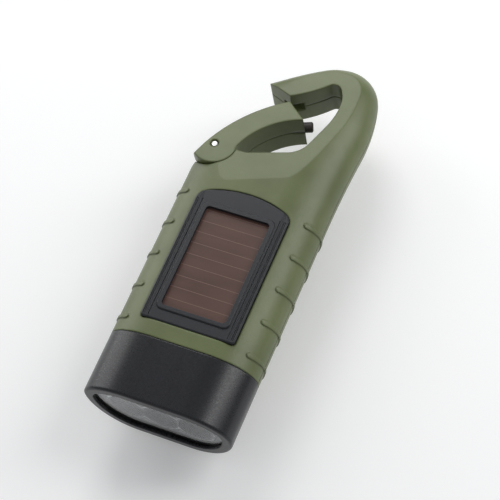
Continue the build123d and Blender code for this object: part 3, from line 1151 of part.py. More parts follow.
# ---------------------------------------------------------------- solar panel
with BuildPart() as solar_bezel:
    extrude(bezel_outline(0, BEZEL_SEAT_Z), amount=BEZEL_DEPTH)
    chamfer(solar_bezel.faces().sort_by(Axis.Z)[-1].edges(), length=BEZEL_EDGE)
    extrude(window_outline(LIP_WIDTH, BEZEL_TOP_Z), amount=LIP_RISE)
    chamfer(solar_bezel.faces().sort_by(Axis.Z)[-1].edges(), length=LIP_EDGE)
    extrude(window_outline(0, BEZEL_SEAT_Z), amount=BEZEL_DEPTH + LIP_RISE, mode=Mode.SUBTRACT)
    extrude(window_outline(CELL_OVERLAP + PIN_RUN, BEZEL_SEAT_Z), amount=CELL_TOP_Z - BEZEL_SEAT_Z,
            mode=Mode.SUBTRACT)
    for side in (-1, 1):
        for groove_inset in GROOVE_INSETS:
            with Locations((side * (BEZEL_HALF_WIDTH - groove_inset), GROOVE_CENTRE_Y, BEZEL_TOP_Z)):
                Box(GROOVE_WIDTH, GROOVE_LENGTH, 2 * GROOVE_DEPTH, mode=Mode.SUBTRACT)
write_piece(solar_bezel, "solar_bezel")

with BuildPart() as solar_cell:
    extrude(window_outline(CELL_OVERLAP, CELL_BACK_Z), amount=CELL_THICKNESS)
write_piece(solar_cell, "solar_cell")

with BuildPart() as solar_pad:
    extrude(window_outline(CELL_OVERLAP, BEZEL_SEAT_Z), amount=CELL_BACK_Z - BEZEL_SEAT_Z)
write_piece(solar_pad, "solar_pad")

# ---------------------------------------------------------------- gate of the hook
def gate_plane(z):
    """Plane at the hinge, turned so that the gate is drawn shut."""
    return Plane(origin=(HINGE_X, HINGE_Y, z), x_dir=(*polar(1, -OPEN_ANGLE), 0), z_dir=(0, 0, 1))


def from_nose(point, along):
    """Gate tip corner: a nose corner moved back across the gap and along the nose face."""
    face_x, face_y = NOSE_INNER[0] - NOSE_OUTER[0], NOSE_INNER[1] - NOSE_OUTER[1]
    length = (face_x ** 2 + face_y ** 2) ** 0.5
    unit_x, unit_y = face_x / length, face_y / length
    return (point[0] - HINGE_X + unit_y * TIP_GAP + unit_x * along,
            point[1] - HINGE_Y - unit_x * TIP_GAP + unit_y * along)


TIP_INNER = from_nose(NOSE_INNER, TIP_OVERHANG)
TIP_OUTER = from_nose(NOSE_OUTER, 0)
GATE_BACK_Z = HOOK_BACK_Z


def gate_outline():
    """Gate seen from the front, hinge at the origin, drawn shut."""
    with BuildSketch(Plane.XY) as outline:
        with BuildLine():
            heel = CenterArc((0, 0), HEEL_RADIUS, GATE_HEEL_START, GATE_HEEL_SWEEP)
            Line(heel @ 1, GATE_THROAT)
            ThreePointArc(GATE_THROAT, GATE_INNER_MIDDLE, TIP_INNER)
            Line(TIP_INNER, TIP_OUTER)
            ThreePointArc(TIP_OUTER, GATE_OUTER_MIDDLE, heel @ 0)
        make_face()
        fillet(outline.vertices().sort_by_distance((*TIP_OUTER, 0))[0], radius=TIP_FILLET)
    return outline.sketch


with BuildLine() as gate_rim:
    outer_side = ThreePointArc(polar(HEEL_RADIUS, GATE_HEEL_START), GATE_OUTER_MIDDLE, TIP_OUTER)
    Line(outer_side @ 0 - GATE_RUN_OUT * (outer_side % 0), outer_side @ 0)
    Line(outer_side @ 1, outer_side @ 1 + GATE_RUN_OUT * (outer_side % 1))
GATE_RIM = gate_plane(PARTING_Z).location * gate_rim.wires()[0]
LATCH_ROOT = (LATCH_TIP[0] - LATCH_LENGTH * cos(radians(LATCH_TURN)),
              LATCH_TIP[1] - LATCH_LENGTH * sin(radians(LATCH_TURN)), 0)
LATCH_PLANE = Plane(origin=gate_plane(PARTING_Z).from_local_coords(LATCH_ROOT),
                    x_dir=(0, 0, 1), z_dir=(*polar(1, LATCH_TURN - OPEN_ANGLE), 0))

with BuildPart() as gate_form:
    with BuildSketch(gate_plane(GATE_BACK_Z)) as gate_plan:
        add(gate_outline())
    extrude(amount=HOOK_REAR_DROP + FRONT_RISE)
    split(bisect_by=facet_plane(-OPEN_ANGLE, 0), keep=Keep.BOTTOM)
    for face, height in ((1, GATE_ROUND_FRONT), (-1, GATE_ROUND_REAR)):
        sweep(sections=rounding_profile(rim_plane(GATE_RIM, 0, -1, face), GATE_ROUND, height, 0, GATE_ROUND),
              path=GATE_RIM, mode=Mode.SUBTRACT)
    # slot between the cheeks for the case lug and its neck
    with BuildSketch(gate_plane(PARTING_Z - CHEEK_SLOT)) as lug_slot:
        Circle(LUG_RADIUS + SLOT_ROUND)
        with BuildLine():
            swing = CenterArc((0, 0), SLOT_REACH, SLOT_START, SLOT_SWEEP)
            Polyline(swing @ 1, (0, 0), swing @ 0)
        make_face()
    extrude(amount=2 * CHEEK_SLOT, mode=Mode.SUBTRACT)
    with Locations((HINGE_X, HINGE_Y, PARTING_Z)):
        Cylinder(HINGE_PIN_RADIUS + PIN_RUN, BIG, mode=Mode.SUBTRACT)
    with BuildSketch(LATCH_PLANE) as latch_hole:
        Circle(LATCH_RADIUS)
    extrude(amount=LATCH_LENGTH, mode=Mode.SUBTRACT)
    extrude(groove_ring(gate_outline(), gate_plane(PARTING_Z - GROOVE_HEIGHT / 2)), amount=GROOVE_HEIGHT,
            mode=Mode.SUBTRACT)

GATE_SCREW_AT = gate_plane(GATE_SCREW_SEAT).from_local_coords((*GATE_SCREW_SPOT, 0))
with BuildPart() as gate_front:
    add(gate_form.part)
    split(bisect_by=Plane.XY.offset(PARTING_Z), keep=Keep.TOP)
    with Locations((GATE_SCREW_AT.X, GATE_SCREW_AT.Y, PARTING_Z)):
        Cylinder(GATE_SCREW_RADIUS, 2 * (GATE_SCREW_SEAT + GATE_SCREW_LENGTH - PARTING_Z), mode=Mode.SUBTRACT)
    facet_z = PARTING_Z + HOOK_FRONT_RISE
    with Locations((HINGE_X, HINGE_Y, facet_z - PIN_MOUTH_DEPTH)):
        Cylinder(PIN_MOUTH_RADIUS, CUT, align=STANDING, mode=Mode.SUBTRACT)
write_piece(gate_front, "gate_front")

with BuildPart() as gate_rear:
    add(gate_form.part)
    split(bisect_by=Plane.XY.offset(PARTING_Z), keep=Keep.BOTTOM)
    with Locations((GATE_SCREW_AT.X, GATE_SCREW_AT.Y, GATE_SCREW_SEAT)):
        Cylinder(GATE_SCREW_RADIUS + HEAD_ROOM, HOOK_REAR_DROP * 2, mode=Mode.SUBTRACT)
        Cylinder(GATE_SCREW_HEAD_RADIUS + HEAD_ROOM, HOOK_REAR_DROP, align=HANGING, mode=Mode.SUBTRACT)
write_piece(gate_rear, "gate_rear")

with BuildPart() as gate_screw:
    with Locations((GATE_SCREW_AT.X, GATE_SCREW_AT.Y, GATE_SCREW_SEAT)):
        add(screw(GATE_SCREW_RADIUS, GATE_SCREW_HEAD_RADIUS, GATE_SCREW_HEAD, GATE_SCREW_LENGTH))
write_piece(gate_screw, "gate_screw")

with BuildPart() as gate_latch_pin:
    with BuildSketch(LATCH_PLANE) as latch_face:
        Circle(LATCH_RADIUS)
    extrude(amount=LATCH_LENGTH)
    latch_tip = gate_latch_pin.faces().sort_by(Axis(LATCH_PLANE.origin, LATCH_PLANE.z_dir))[-1]
    chamfer(latch_tip.edges(), length=LATCH_EDGE)
write_piece(gate_latch_pin, "gate_latch_pin")

with BuildPart() as gate_hinge_pin:
    with Locations((HINGE_X, HINGE_Y, GATE_BACK_Z + HINGE_PIN_SINK)):
        Cylinder(HINGE_PIN_RADIUS, HOOK_REAR_DROP + HOOK_FRONT_RISE - 2 * HINGE_PIN_SINK,
                 align=STANDING)
    chamfer(gate_hinge_pin.edges(), length=PIN_EDGE)
write_piece(gate_hinge_pin, "gate_hinge_pin")

with BuildPart() as gate_spring:
    # in the slot under the lug
    spring_foot = PARTING_Z - (LUG_DROP + CHEEK_SLOT + SPRING_TURNS * SPRING_PITCH) / 2
    with BuildLine() as spring_path:
        Helix(SPRING_PITCH, SPRING_TURNS * SPRING_PITCH, SPRING_RADIUS,
              center=(HINGE_X, HINGE_Y, spring_foot))
    with BuildSketch(Plane(origin=spring_path.line @ 0, z_dir=spring_path.line % 0)) as spring_section:
        Circle(SPRING_WIRE / 2)
    sweep(is_frenet=True)
write_piece(gate_spring, "gate_spring")
print("spring gap between turns", SPRING_PITCH - SPRING_WIRE)

# ---------------------------------------------------------------- electronics
with BuildPart() as main_board:
    with Locations((0, BOARD_CENTRE_Y, BOARD_BACK_Z)):
        Box(2 * BOARD_HALF_WIDTH, BOARD_LENGTH, BOARD_THICKNESS, align=STANDING)
    with Locations(*[(x, y, BOARD_BACK_Z) for x, y in BOARD_SCREW_SPOTS]):
        Cylinder(SMALL_SCREW_RADIUS, BIG, mode=Mode.SUBTRACT)
write_piece(main_board, "main_board")

with BuildPart() as board_screws:
    with Locations(*[(x, y, BOARD_BACK_Z) for x, y in BOARD_SCREW_SPOTS]):
        add(SMALL_SCREW)
write_piece(board_screws, "board_screws")

with BuildPart() as board_parts:
    for part_x, part_y, part_w, part_l, part_h in BOARD_PARTS:
        with Locations((part_x, part_y, BOARD_BACK_Z)):
            Box(part_w, part_l, part_h, align=HANGING)
write_piece(board_parts, "board_parts")

BATTERY_TOP_Z = BOARD_BACK_Z - BATTERY_PAD
with BuildPart() as battery:
    with Locations((0, BATTERY_Y, BATTERY_TOP_Z)):
        Cylinder(BATTERY_RADIUS, BATTERY_THICKNESS, align=HANGING)
    fillet(battery.edges(), radius=BATTERY_EDGE)
write_piece(battery, "battery")

with BuildPart() as battery_pad:
    with Locations((0, BATTERY_Y, BATTERY_TOP_Z)):
        Cylinder(BATTERY_PAD_RADIUS, BATTERY_PAD, align=STANDING)
write_piece(battery_pad, "battery_pad")

BATTERY_BACK_Z = BATTERY_TOP_Z - BATTERY_THICKNESS
TAB_OUT = BATTERY_RADIUS + TAB_STAND
with BuildPart() as battery_tabs:
    # tab under the cell, bent up its side to the board
    with Locations((-TAB_OUT, BATTERY_Y, BATTERY_BACK_Z)):
        Box(TAB_LENGTH, TAB_WIDTH, TAB_THICKNESS, align=(Align.MIN, Align.CENTER, Align.MAX))
    with Locations((-TAB_OUT, BATTERY_Y, BATTERY_BACK_Z - TAB_THICKNESS)):
        Box(TAB_THICKNESS, TAB_WIDTH, BOARD_BACK_Z - BATTERY_BACK_Z + TAB_THICKNESS,
            align=(Align.MIN, Align.CENTER, Align.MIN))
    # tab on top of the cell, folded against the board
    with Locations((BATTERY_PAD_RADIUS + TAB_STAND, BATTERY_Y, BATTERY_TOP_Z)):
        Box(TAB_WIDTH - 2 * TAB_STAND, TAB_WIDTH, BATTERY_PAD, align=(Align.MIN, Align.CENTER, Align.MIN))
write_piece(battery_tabs, "battery_tabs")

# ---------------------------------------------------------------- stator screws
with BuildPart() as stator_screws:
    with Locations(*[Location((x, y, POLE_Z + POLE_THICKNESS), (180, 0, 0)) for x, y in STATOR_SPOTS]):
        add(STATOR_SCREW)
write_piece(stator_screws, "stator_screws")
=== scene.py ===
import json
from math import cos, radians, sin, tan

import bmesh
import bpy
from mathutils import Matrix, Vector


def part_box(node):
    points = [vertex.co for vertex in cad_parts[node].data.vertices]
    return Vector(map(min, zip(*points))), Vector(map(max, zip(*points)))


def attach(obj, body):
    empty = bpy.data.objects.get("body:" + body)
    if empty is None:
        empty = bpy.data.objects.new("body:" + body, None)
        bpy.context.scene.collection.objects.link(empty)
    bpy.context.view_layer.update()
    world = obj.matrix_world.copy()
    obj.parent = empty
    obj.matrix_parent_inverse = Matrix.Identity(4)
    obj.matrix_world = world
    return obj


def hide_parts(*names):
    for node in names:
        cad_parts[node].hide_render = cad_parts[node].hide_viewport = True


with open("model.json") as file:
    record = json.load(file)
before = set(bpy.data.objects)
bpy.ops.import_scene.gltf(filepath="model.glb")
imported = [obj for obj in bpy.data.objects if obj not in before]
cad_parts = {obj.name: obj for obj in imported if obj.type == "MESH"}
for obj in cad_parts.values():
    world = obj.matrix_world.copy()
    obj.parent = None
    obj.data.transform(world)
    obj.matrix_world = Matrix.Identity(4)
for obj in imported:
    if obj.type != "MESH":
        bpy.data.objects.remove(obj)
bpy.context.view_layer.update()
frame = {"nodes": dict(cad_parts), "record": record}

# Looks of the hand crank flashlight. Metres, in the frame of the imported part:
# X to the right, Y towards the hook, Z from the crank up to the solar panel.
MM = 0.001
TONE_DRIFT = 14 * MM        # size of the slow changes of tone in moulded plastic
FLOW_RIPPLE = 6 * MM        # ripples left by the flow of clear plastic into its mould
CELL_LINE_PITCH = 4.05 * MM
CELL_LINE_SHARE = 0.05      # share of the pitch that a line covers
CELL_CLOUD = 5 * MM
RIB_PITCH = 0.7 * MM        # slanting ribs in the side bands of the solar frame
BAND_OUTER_EDGE = 1.3 * MM  # both edges of the band, measured in from the side of the frame
BAND_INNER_EDGE = 2.5 * MM
RING_PITCH = 1.6 * MM       # rings round each lamp in the bowls
RING_CRUMPLE = 0.7 * MM     # how far a ring strays from round
CRUMPLE_SIZE = 1.6 * MM
WELD = 0.002 * MM           # corners of the loose triangles nearer than this are one
SLIVER = 0.0005 * MM
FLOOR_HALF = 1.5
FLOOR_GLOW = 0.16
WORLD_STRENGTH = 0.42
BODIES = frame["record"]["behaviour"]["bodies"]
BODY_OF = {node: body for body, nodes in BODIES.items() for node in nodes}
SLOT_OF = {entry["node"]: entry["material_slot"] for entry in frame["record"]["subparts"]}


# ---------------------------------------------------------------- colours and nodes
def linear(code):
    """sRGB hex text to a linear colour."""
    channels = [int(code[i:i + 2], 16) / 255 for i in (1, 3, 5)]
    return (*[c / 12.92 if c <= 0.04045 else ((c + 0.055) / 1.055) ** 2.4 for c in channels], 1.0)


def add_node(tree, kind, inputs=None, **settings):
    """Add a node with its settings; each input is a number, a colour or the output that feeds it."""
    node = tree.nodes.new(kind)
    for name, value in settings.items():
        setattr(node, name, value)
    for name, value in (inputs or {}).items():
        if isinstance(value, bpy.types.NodeSocket):
            tree.links.new(value, node.inputs[name])
        else:
            node.inputs[name].default_value = value
    return node


def start_material(name):
    """A new material, its shader and its object coordinates, which are metres in the part's frame."""
    material = bpy.data.materials.new(name)
    material.use_nodes = True
    tree = material.node_tree
    place = add_node(tree, "ShaderNodeTexCoord").outputs["Object"]
    return material, tree, tree.nodes["Principled BSDF"], place


def broken_edges(tree, shader, height, depth, radius):
    """Surface grain of a depth, on edges that catch the light over a small radius."""
    edge = add_node(tree, "ShaderNodeBevel", {"Radius": radius}, samples=6)
    grain = add_node(tree, "ShaderNodeBump", {"Height": height, "Distance": depth,
                                              "Normal": edge.outputs["Normal"]})
    tree.links.new(grain.outputs["Normal"], shader.inputs["Normal"])


# ---------------------------------------------------------------- materials
def moulded(name, dark, light, roughness, grain, depth, radius, specular=0.5):
    """Injection-moulded plastic: an even spark-eroded grain and a slow drift of tone."""
    material, tree, shader, place = start_material(name)
    drift = add_node(tree, "ShaderNodeTexNoise", {"Vector": place, "Scale": 1 / TONE_DRIFT, "Detail": 3})
    tone = add_node(tree, "ShaderNodeMapRange", {"Value": drift.outputs["Fac"], "From Min": 0.35,
                                                "From Max": 0.65})
    colour = add_node(tree, "ShaderNodeMix", {"Factor": tone.outputs["Result"], "A": linear(dark),
                                              "B": linear(light)}, data_type="RGBA")
    fine = add_node(tree, "ShaderNodeTexNoise", {"Vector": place, "Scale": 1 / grain, "Detail": 3})
    shine = add_node(tree, "ShaderNodeMapRange", {"Value": fine.outputs["Fac"], "From Min": 0.3,
                                                 "From Max": 0.7, "To Min": roughness - 0.06,
                                                 "To Max": roughness + 0.06})
    tree.links.new(colour.outputs["Result"], shader.inputs["Base Color"])
    tree.links.new(shine.outputs["Result"], shader.inputs["Roughness"])
    shader.inputs["Specular IOR Level"].default_value = specular
    broken_edges(tree, shader, fine.outputs["Fac"], depth, radius)
    return material


def worked_metal(name, colour, roughness, stretch=(1, 1, 1), grain=0.25 * MM):
    """Metal: fine tool marks along one way and a slightly uneven shine."""
    material, tree, shader, place = start_material(name)
    shader.inputs["Base Color"].default_value = linear(colour)
    shader.inputs["Metallic"].default_value = 1.0
    along = add_node(tree, "ShaderNodeMapping", {"Vector": place, "Scale": stretch})
    marks = add_node(tree, "ShaderNodeTexNoise", {"Vector": along.outputs["Vector"], "Scale": 1 / grain,
                                                  "Detail": 4})
    shine = add_node(tree, "ShaderNodeMapRange", {"Value": marks.outputs["Fac"], "From Min": 0.3,
                                                 "From Max": 0.7, "To Min": 0.7 * roughness,
                                                 "To Max": 1.3 * roughness})
    tree.links.new(shine.outputs["Result"], shader.inputs["Roughness"])
    broken_edges(tree, shader, marks.outputs["Fac"], 0.004 * MM, 0.12 * MM)
    return material


def clear_plastic(name, colour, roughness, specular):
    """Clear moulded plastic: what is behind it shows, and faint flow ripples run through the shine."""
    material, tree, shader, place = start_material(name)
    shader.inputs["Base Color"].default_value = linear(colour)
    shader.inputs["Transmission Weight"].default_value = 1.0
    shader.inputs["IOR"].default_value = 1.45
    shader.inputs["Specular IOR Level"].default_value = specular
    ripple = add_node(tree, "ShaderNodeTexNoise", {"Vector": place, "Scale": 1 / FLOW_RIPPLE, "Detail": 2})
    shine = add_node(tree, "ShaderNodeMapRange", {"Value": ripple.outputs["Fac"], "To Min": roughness,
                                                  "To Max": roughness + 0.03})
    wave = add_node(tree, "ShaderNodeBump", {"Height": ripple.outputs["Fac"], "Distance": 0.01 * MM})
    tree.links.new(shine.outputs["Result"], shader.inputs["Roughness"])
    tree.links.new(wave.outputs["Normal"], shader.inputs["Normal"])
    return material


def silicon_cell():
    """Amorphous silicon under clear resin: cloudy brown crossed by fine, slightly paler lines."""
    material, tree, shader, place = start_material("amorphous_silicon_under_resin")
    low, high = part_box("solar_cell")
    axes = add_node(tree, "ShaderNodeSeparateXYZ", {"Vector": place})
    up = add_node(tree, "ShaderNodeMath", {0: axes.outputs["Y"], 1: low[1]}, operation="SUBTRACT")
    rows = add_node(tree, "ShaderNodeMath", {0: up.outputs["Value"], 1: CELL_LINE_PITCH}, operation="DIVIDE")
    part = add_node(tree, "ShaderNodeMath", {0: rows.outputs["Value"]}, operation="FRACT")
    # a line is 0.2 mm wide, drawn wider than such lines usually are so that it shows
    line = add_node(tree, "ShaderNodeMath", {0: part.outputs["Value"], 1: CELL_LINE_SHARE},
                    operation="LESS_THAN")
    stretched = add_node(tree, "ShaderNodeMapping", {"Vector": place, "Scale": (0.25, 1, 1)})
    cloud = add_node(tree, "ShaderNodeTexNoise", {"Vector": stretched.outputs["Vector"],
                                                  "Scale": 1 / CELL_CLOUD, "Detail": 4})
    field = add_node(tree, "ShaderNodeMix", {"Factor": cloud.outputs["Fac"], "A": linear("#452e28"),
                                             "B": linear("#61453c")}, data_type="RGBA")
    cover = add_node(tree, "ShaderNodeMix", {"Factor": line.outputs["Value"], "A": field.outputs["Result"],
                                             "B": linear("#725850")}, data_type="RGBA")
    step = add_node(tree, "ShaderNodeBump", {"Height": line.outputs["Value"], "Distance": 0.01 * MM})
    tree.links.new(cover.outputs["Result"], shader.inputs["Base Color"])
    tree.links.new(step.outputs["Normal"], shader.inputs["Normal"])
    shader.inputs["Roughness"].default_value = 0.45
    shader.inputs["Specular IOR Level"].default_value = 0.35
    shader.inputs["Coat Weight"].default_value = 0.15
    shader.inputs["Coat Roughness"].default_value = 0.3
    return material


def ribbed_bezel():
    """Black moulded frame: satin strips, and along each side a band of fine slanting ribs."""
    material, tree, shader, place = start_material("black_abs_bezel_with_ribbed_bands")
    shader.inputs["Base Color"].default_value = linear("#1e2025")
    low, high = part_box("solar_bezel")
    axes = add_node(tree, "ShaderNodeSeparateXYZ", {"Vector": place})
    aside = add_node(tree, "ShaderNodeMath", {0: axes.outputs["X"]}, operation="ABSOLUTE")
    inner = add_node(tree, "ShaderNodeMath", {0: aside.outputs["Value"], 1: high[0] - BAND_INNER_EDGE},
                     operation="GREATER_THAN")
    outer = add_node(tree, "ShaderNodeMath", {0: aside.outputs["Value"], 1: high[0] - BAND_OUTER_EDGE},
                     operation="LESS_THAN")
    band = add_node(tree, "ShaderNodeMath", {0: inner.outputs["Value"], 1: outer.outputs["Value"]},
                    operation="MULTIPLY")
    slant = add_node(tree, "ShaderNodeMath", {0: axes.outputs["X"], 1: axes.outputs["Y"]}, operation="ADD")
    turns = add_node(tree, "ShaderNodeMath", {0: slant.outputs["Value"], 1: radians(360) / RIB_PITCH},
                     operation="MULTIPLY")
    wave = add_node(tree, "ShaderNodeMath", {0: turns.outputs["Value"]}, operation="SINE")
    ribs = add_node(tree, "ShaderNodeMath", {0: wave.outputs["Value"], 1: band.outputs["Value"]},
                    operation="MULTIPLY")
    fine = add_node(tree, "ShaderNodeTexNoise", {"Vector": place, "Scale": 1 / (0.3 * MM), "Detail": 3})
    height = add_node(tree, "ShaderNodeMath", {0: fine.outputs["Fac"], 1: ribs.outputs["Value"]},
                      operation="ADD")
    shine = add_node(tree, "ShaderNodeMapRange", {"Value": fine.outputs["Fac"], "To Min": 0.3,
                                                 "To Max": 0.48})
    tree.links.new(shine.outputs["Result"], shader.inputs["Roughness"])
    broken_edges(tree, shader, height.outputs["Value"], 0.03 * MM, 0.15 * MM)
    return material


def metallised_bowls():
    """Vacuum-metallised plastic bowls: crumpled rings of relief round each lamp, with painted reflections in
    the base colour.

    The painted reflections are bright painted highlights on the ring crests and dark brown between them; they
    stand in for what a real bowl mirrors.
    """
    material, tree, shader, place = start_material("vacuum_metallised_reflector")
    shader.inputs["Metallic"].default_value = 1.0
    axes = add_node(tree, "ShaderNodeSeparateXYZ", {"Vector": place})
    low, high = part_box("led_centre")
    pitch = 0.5 * (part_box("led_right")[0][0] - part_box("led_left")[0][0])
    # fold X onto the nearest of the three lamps
    row = add_node(tree, "ShaderNodeMath", {0: axes.outputs["X"], 1: 0.5 * (low[0] + high[0]) - 1.5 * pitch},
                   operation="SUBTRACT")
    folded = add_node(tree, "ShaderNodeMath", {0: row.outputs["Value"], 1: pitch, 2: 0.0}, operation="WRAP")
    aside = add_node(tree, "ShaderNodeMath", {0: folded.outputs["Value"], 1: 0.5 * pitch},
                     operation="SUBTRACT")
    rise = add_node(tree, "ShaderNodeMath", {0: axes.outputs["Z"], 1: 0.5 * (low[2] + high[2])},
                    operation="SUBTRACT")
    across = add_node(tree, "ShaderNodeCombineXYZ", {"X": aside.outputs["Value"], "Z": rise.outputs["Value"]})
    reach = add_node(tree, "ShaderNodeVectorMath", {0: across.outputs["Vector"]}, operation="LENGTH")
    crumple = add_node(tree, "ShaderNodeTexNoise", {"Vector": place, "Scale": 1 / CRUMPLE_SIZE, "Detail": 2})
    bent = add_node(tree, "ShaderNodeMath", {0: crumple.outputs["Fac"], 1: RING_CRUMPLE,
                                            2: reach.outputs["Value"]}, operation="MULTIPLY_ADD")
    turns = add_node(tree, "ShaderNodeMath", {0: bent.outputs["Value"], 1: radians(360) / RING_PITCH},
                     operation="MULTIPLY")
    rings = add_node(tree, "ShaderNodeMath", {0: turns.outputs["Value"]}, operation="SINE")
    relief = add_node(tree, "ShaderNodeBump", {"Height": rings.outputs["Value"], "Distance": 0.025 * MM})
    shine = add_node(tree, "ShaderNodeMapRange", {"Value": crumple.outputs["Fac"], "To Min": 0.02,
                                                 "To Max": 0.08})
    # painted reflection: the ring crests take a bright painted highlight and the troughs a dark brown painted
    # reflection, in the base colour
    painted_glint_mask = add_node(tree, "ShaderNodeMapRange", {"Value": rings.outputs["Value"], "From Min": 0.2,
                                                   "From Max": 0.95})
    painted_reflection = add_node(tree, "ShaderNodeMix", {"Factor": painted_glint_mask.outputs["Result"], "A": linear("#2f2624"),
                                            "B": linear("#e9e6e4")}, data_type="RGBA")
    tree.links.new(painted_reflection.outputs["Result"], shader.inputs["Base Color"])
    tree.links.new(shine.outputs["Result"], shader.inputs["Roughness"])
    tree.links.new(relief.outputs["Normal"], shader.inputs["Normal"])
    return material


GREEN = moulded("green_abs_fine_spark_grain", "#5b643e", "#656e46", 0.4, 0.35 * MM, 0.014 * MM, 0.8 * MM)
BLACK = moulded("black_abs_satin", "#141519", "#1a1b20", 0.3, 0.5 * MM, 0.004 * MM, 0.6 * MM, 0.45)
BEZEL = ribbed_bezel()
CARRIER = moulded("black_abs_lamp_carrier_matt", "#0c0c0e", "#121214", 0.5, 0.4 * MM, 0.006 * MM, 0.2 * MM)
NYLON = moulded("dark_nylon_latch_pin", "#2a2422", "#37302d", 0.45, 0.4 * MM, 0.005 * MM, 0.2 * MM)
ACETAL = moulded("white_acetal_gears", "#d8d6cf", "#e4e2dc", 0.35, 0.5 * MM, 0.003 * MM, 0.08 * MM)
RUBBER = moulded("black_rubber_matt", "#131314", "#1b1b1c", 0.75, 0.4 * MM, 0.01 * MM, 0.2 * MM)
FOAM = moulded("grey_closed_cell_foam", "#2c2c2d", "#3a3a3b", 0.9, 0.5 * MM, 0.08 * MM, 0.2 * MM)
BOARD = moulded("green_solder_mask_on_glass_fibre", "#12401f", "#174a25", 0.3, 0.8 * MM, 0.004 * MM,
                0.05 * MM)
EPOXY = moulded("black_moulded_epoxy", "#151515", "#1c1c1c", 0.4, 0.3 * MM, 0.006 * MM, 0.1 * MM)
SCREW = worked_metal("zinc_plated_screw_steel", "#a9aaab", 0.34)
PIN = worked_metal("ground_pin_steel", "#dcdcdd", 0.3, (1, 1, 0.1))
CHROME = metallised_bowls()
CORE = worked_metal("stacked_electrical_steel", "#6f7174", 0.45, (0.1, 0.1, 3))
CAN = worked_metal("nickel_plated_cell_can", "#c9c8c4", 0.24, (1, 1, 0.2))
COIL = worked_metal("enamelled_copper_winding", "#a8572c", 0.3, (4, 0.2, 0.2))
BRONZE = worked_metal("sintered_bronze_bush", "#a5794a", 0.5)
LENS = clear_plastic("polished_polycarbonate_window", "#f4f8fa", 0.0, 0.15)
EPOXY_DOME = clear_plastic("clear_epoxy_lamp_dome", "#f2f5fa", 0.0, 0.5)
CELL = silicon_cell()

FINISH = {
    "case_green": GREEN, "head_black": BLACK, "black_plastic": CARRIER, "lens_clear": LENS,
    "rubber_black": RUBBER, "chrome_bright": CHROME, "led_clear": EPOXY_DOME, "board_green": BOARD,
    "screw_steel": SCREW, "pin_steel": PIN, "cell_brown": CELL, "foam_grey": FOAM, "nylon_dark": NYLON,
    "nylon_white": ACETAL, "magnet_nickel": CAN, "core_steel": CORE, "copper_coil": COIL, "cell_can": CAN,
    "bronze_bush": BRONZE, "chip_black": EPOXY, "button_black": RUBBER,
}

# ---------------------------------------------------------------- pieces from the CAD nodes
FACET_FALL = radians(4.86)
FACET_HEADING = {"front_shell": radians(110.7), "gate_front": radians(92.7)}


def smooth_skin(node, material, angle=30):
    """A joined copy of a node with soft shading across its curved faces, shown in its place."""
    piece = bpy.data.objects.new(node + "_skin", frame["nodes"][node].data.copy())
    bpy.context.scene.collection.objects.link(piece)
    mesh = bmesh.new()
    mesh.from_mesh(piece.data)
    bmesh.ops.remove_doubles(mesh, verts=mesh.verts, dist=WELD)
    bmesh.ops.dissolve_degenerate(mesh, edges=mesh.edges, dist=SLIVER)
    for face in mesh.faces:
        face.smooth = True
    for edge in mesh.edges:
        edge.smooth = len(edge.link_faces) == 2 and edge.calc_face_angle(0.0) < radians(angle)
    if node in FACET_HEADING:
        # the flat front of the hook keeps a crisp crease all round
        heading = FACET_HEADING[node]
        facet = Vector((tan(FACET_FALL) * cos(heading), tan(FACET_FALL) * sin(heading), 1)).normalized()
        for edge in mesh.edges:
            on_facet = [face.normal.dot(facet) > cos(radians(0.3)) for face in edge.link_faces]
            if len(on_facet) == 2 and on_facet[0] != on_facet[1]:
                edge.smooth = False
    mesh.to_mesh(piece.data)
    mesh.free()
    piece.data.materials.clear()
    piece.data.materials.append(material)
    weighted = piece.modifiers.new("even_shading", "WEIGHTED_NORMAL")
    weighted.keep_sharp = True
    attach(piece, BODY_OF[node])
    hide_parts(node)


SHOWN = ("front_shell", "rear_shell", "lamp_head", "lens_window", "lens_seal", "lamp_carrier", "reflector",
         "led_left", "led_centre", "led_right", "solar_cell", "gate_front", "gate_rear", "gate_latch_pin",
         "gate_hinge_pin", "gate_screw", "crank_arm", "crank_hub_cap", "crank_knob", "knob_pin",
         "switch_button", "case_screws", "head_screws")
for shown in SHOWN:
    smooth_skin(shown, FINISH[SLOT_OF[shown]])
smooth_skin("solar_bezel", BEZEL)

for node_name, node_object in frame["nodes"].items():
    node_object.data.materials.clear()
    node_object.data.materials.append(FINISH[SLOT_OF[node_name]])

# ---------------------------------------------------------------- floor, light and camera
floor_mesh = bpy.data.meshes.new("floor")
floor_form = bmesh.new()
bmesh.ops.create_grid(floor_form, x_segments=1, y_segments=1, size=FLOOR_HALF)
floor_form.to_mesh(floor_mesh)
floor_form.free()
floor = bpy.data.objects.new("floor", floor_mesh)
bpy.context.scene.collection.objects.link(floor)
floor_paint, floor_tree, floor_shader = start_material("white_studio_floor")[:3]
floor_shader.inputs["Base Color"].default_value = linear("#f4f4f4")
floor_shader.inputs["Roughness"].default_value = 0.8
floor_shader.inputs["Emission Color"].default_value = linear("#ffffff")
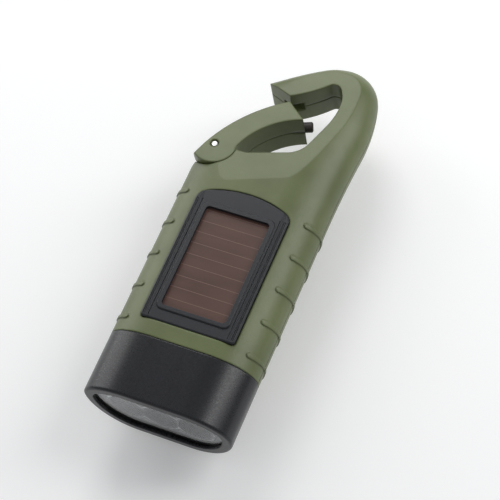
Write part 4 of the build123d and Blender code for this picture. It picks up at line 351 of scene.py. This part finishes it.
# a little glow for what looks at the floor, which turns it white and keeps the shadow
path = add_node(floor_tree, "ShaderNodeLightPath")
seen = add_node(floor_tree, "ShaderNodeMath", {0: path.outputs["Is Camera Ray"],
                                               1: path.outputs["Is Glossy Ray"]}, operation="MAXIMUM")
seen_through = add_node(floor_tree, "ShaderNodeMath", {0: seen.outputs["Value"],
                                                       1: path.outputs["Is Transmission Ray"]},
                        operation="MAXIMUM")
glow = add_node(floor_tree, "ShaderNodeMath", {0: seen_through.outputs["Value"], 1: FLOOR_GLOW},
                operation="MULTIPLY")
floor_tree.links.new(glow.outputs["Value"], floor_shader.inputs["Emission Strength"])
floor_mesh.materials.append(floor_paint)

world = bpy.data.worlds.new("studio")
bpy.context.scene.world = world
world.use_nodes = True
world.node_tree.nodes["Background"].inputs["Color"].default_value = linear("#f4f6f8")
world.node_tree.nodes["Background"].inputs["Strength"].default_value = WORLD_STRENGTH


def softbox(name, direction, distance, width, height, power):
    """Rectangular studio light aimed at the middle of the flashlight."""
    target = Vector((0, 0, 20 * MM))
    light = bpy.data.lights.new(name, "AREA")
    light.shape = "RECTANGLE"
    light.size, light.size_y = width, height
    light.energy = power
    lamp = bpy.data.objects.new(name, light)
    lamp.location = target + Vector(direction).normalized() * distance
    lamp.rotation_euler = (target - lamp.location).to_track_quat("-Z", "Y").to_euler()
    bpy.context.scene.collection.objects.link(lamp)


softbox("left_box", (-0.89, 0.36, 0.34), 0.7, 0.30, 0.5, 1.2)
softbox("right_box", (0.62, 0.42, 0.66), 0.7, 0.25, 0.5, 1.9)
softbox("top_box", (-0.38, 0.72, 0.68), 0.8, 0.4, 0.3, 2.0)

# camera fitted to the photograph: its place and turn in the part's frame
CAMERA_PLACE = Vector((161.55, -233.16, 510.46)) * MM
CAMERA_RIGHT = Vector((0.91412516, 0.38463804, -0.12817475))
CAMERA_UP = Vector((-0.28487725, 0.83431477, 0.47197861))
CAMERA_BACK = Vector((0.28847902, -0.39493346, 0.87224275))
camera_data = bpy.data.cameras.new("camera")
camera_data.sensor_width = 36.0
camera_data.lens = 128.395
camera_data.shift_x = 0.04675
camera_data.shift_y = 0.03332
camera_data.clip_start = 0.01
camera = bpy.data.objects.new("camera", camera_data)
turn = Matrix((CAMERA_RIGHT, CAMERA_UP, CAMERA_BACK)).transposed()
camera.matrix_world = Matrix.Translation(CAMERA_PLACE) @ turn.to_4x4()
bpy.context.scene.collection.objects.link(camera)
bpy.context.scene.camera = camera
bpy.context.scene.render.resolution_x = 500
bpy.context.scene.render.resolution_y = 500
bpy.context.scene.view_settings.view_transform = "Standard"
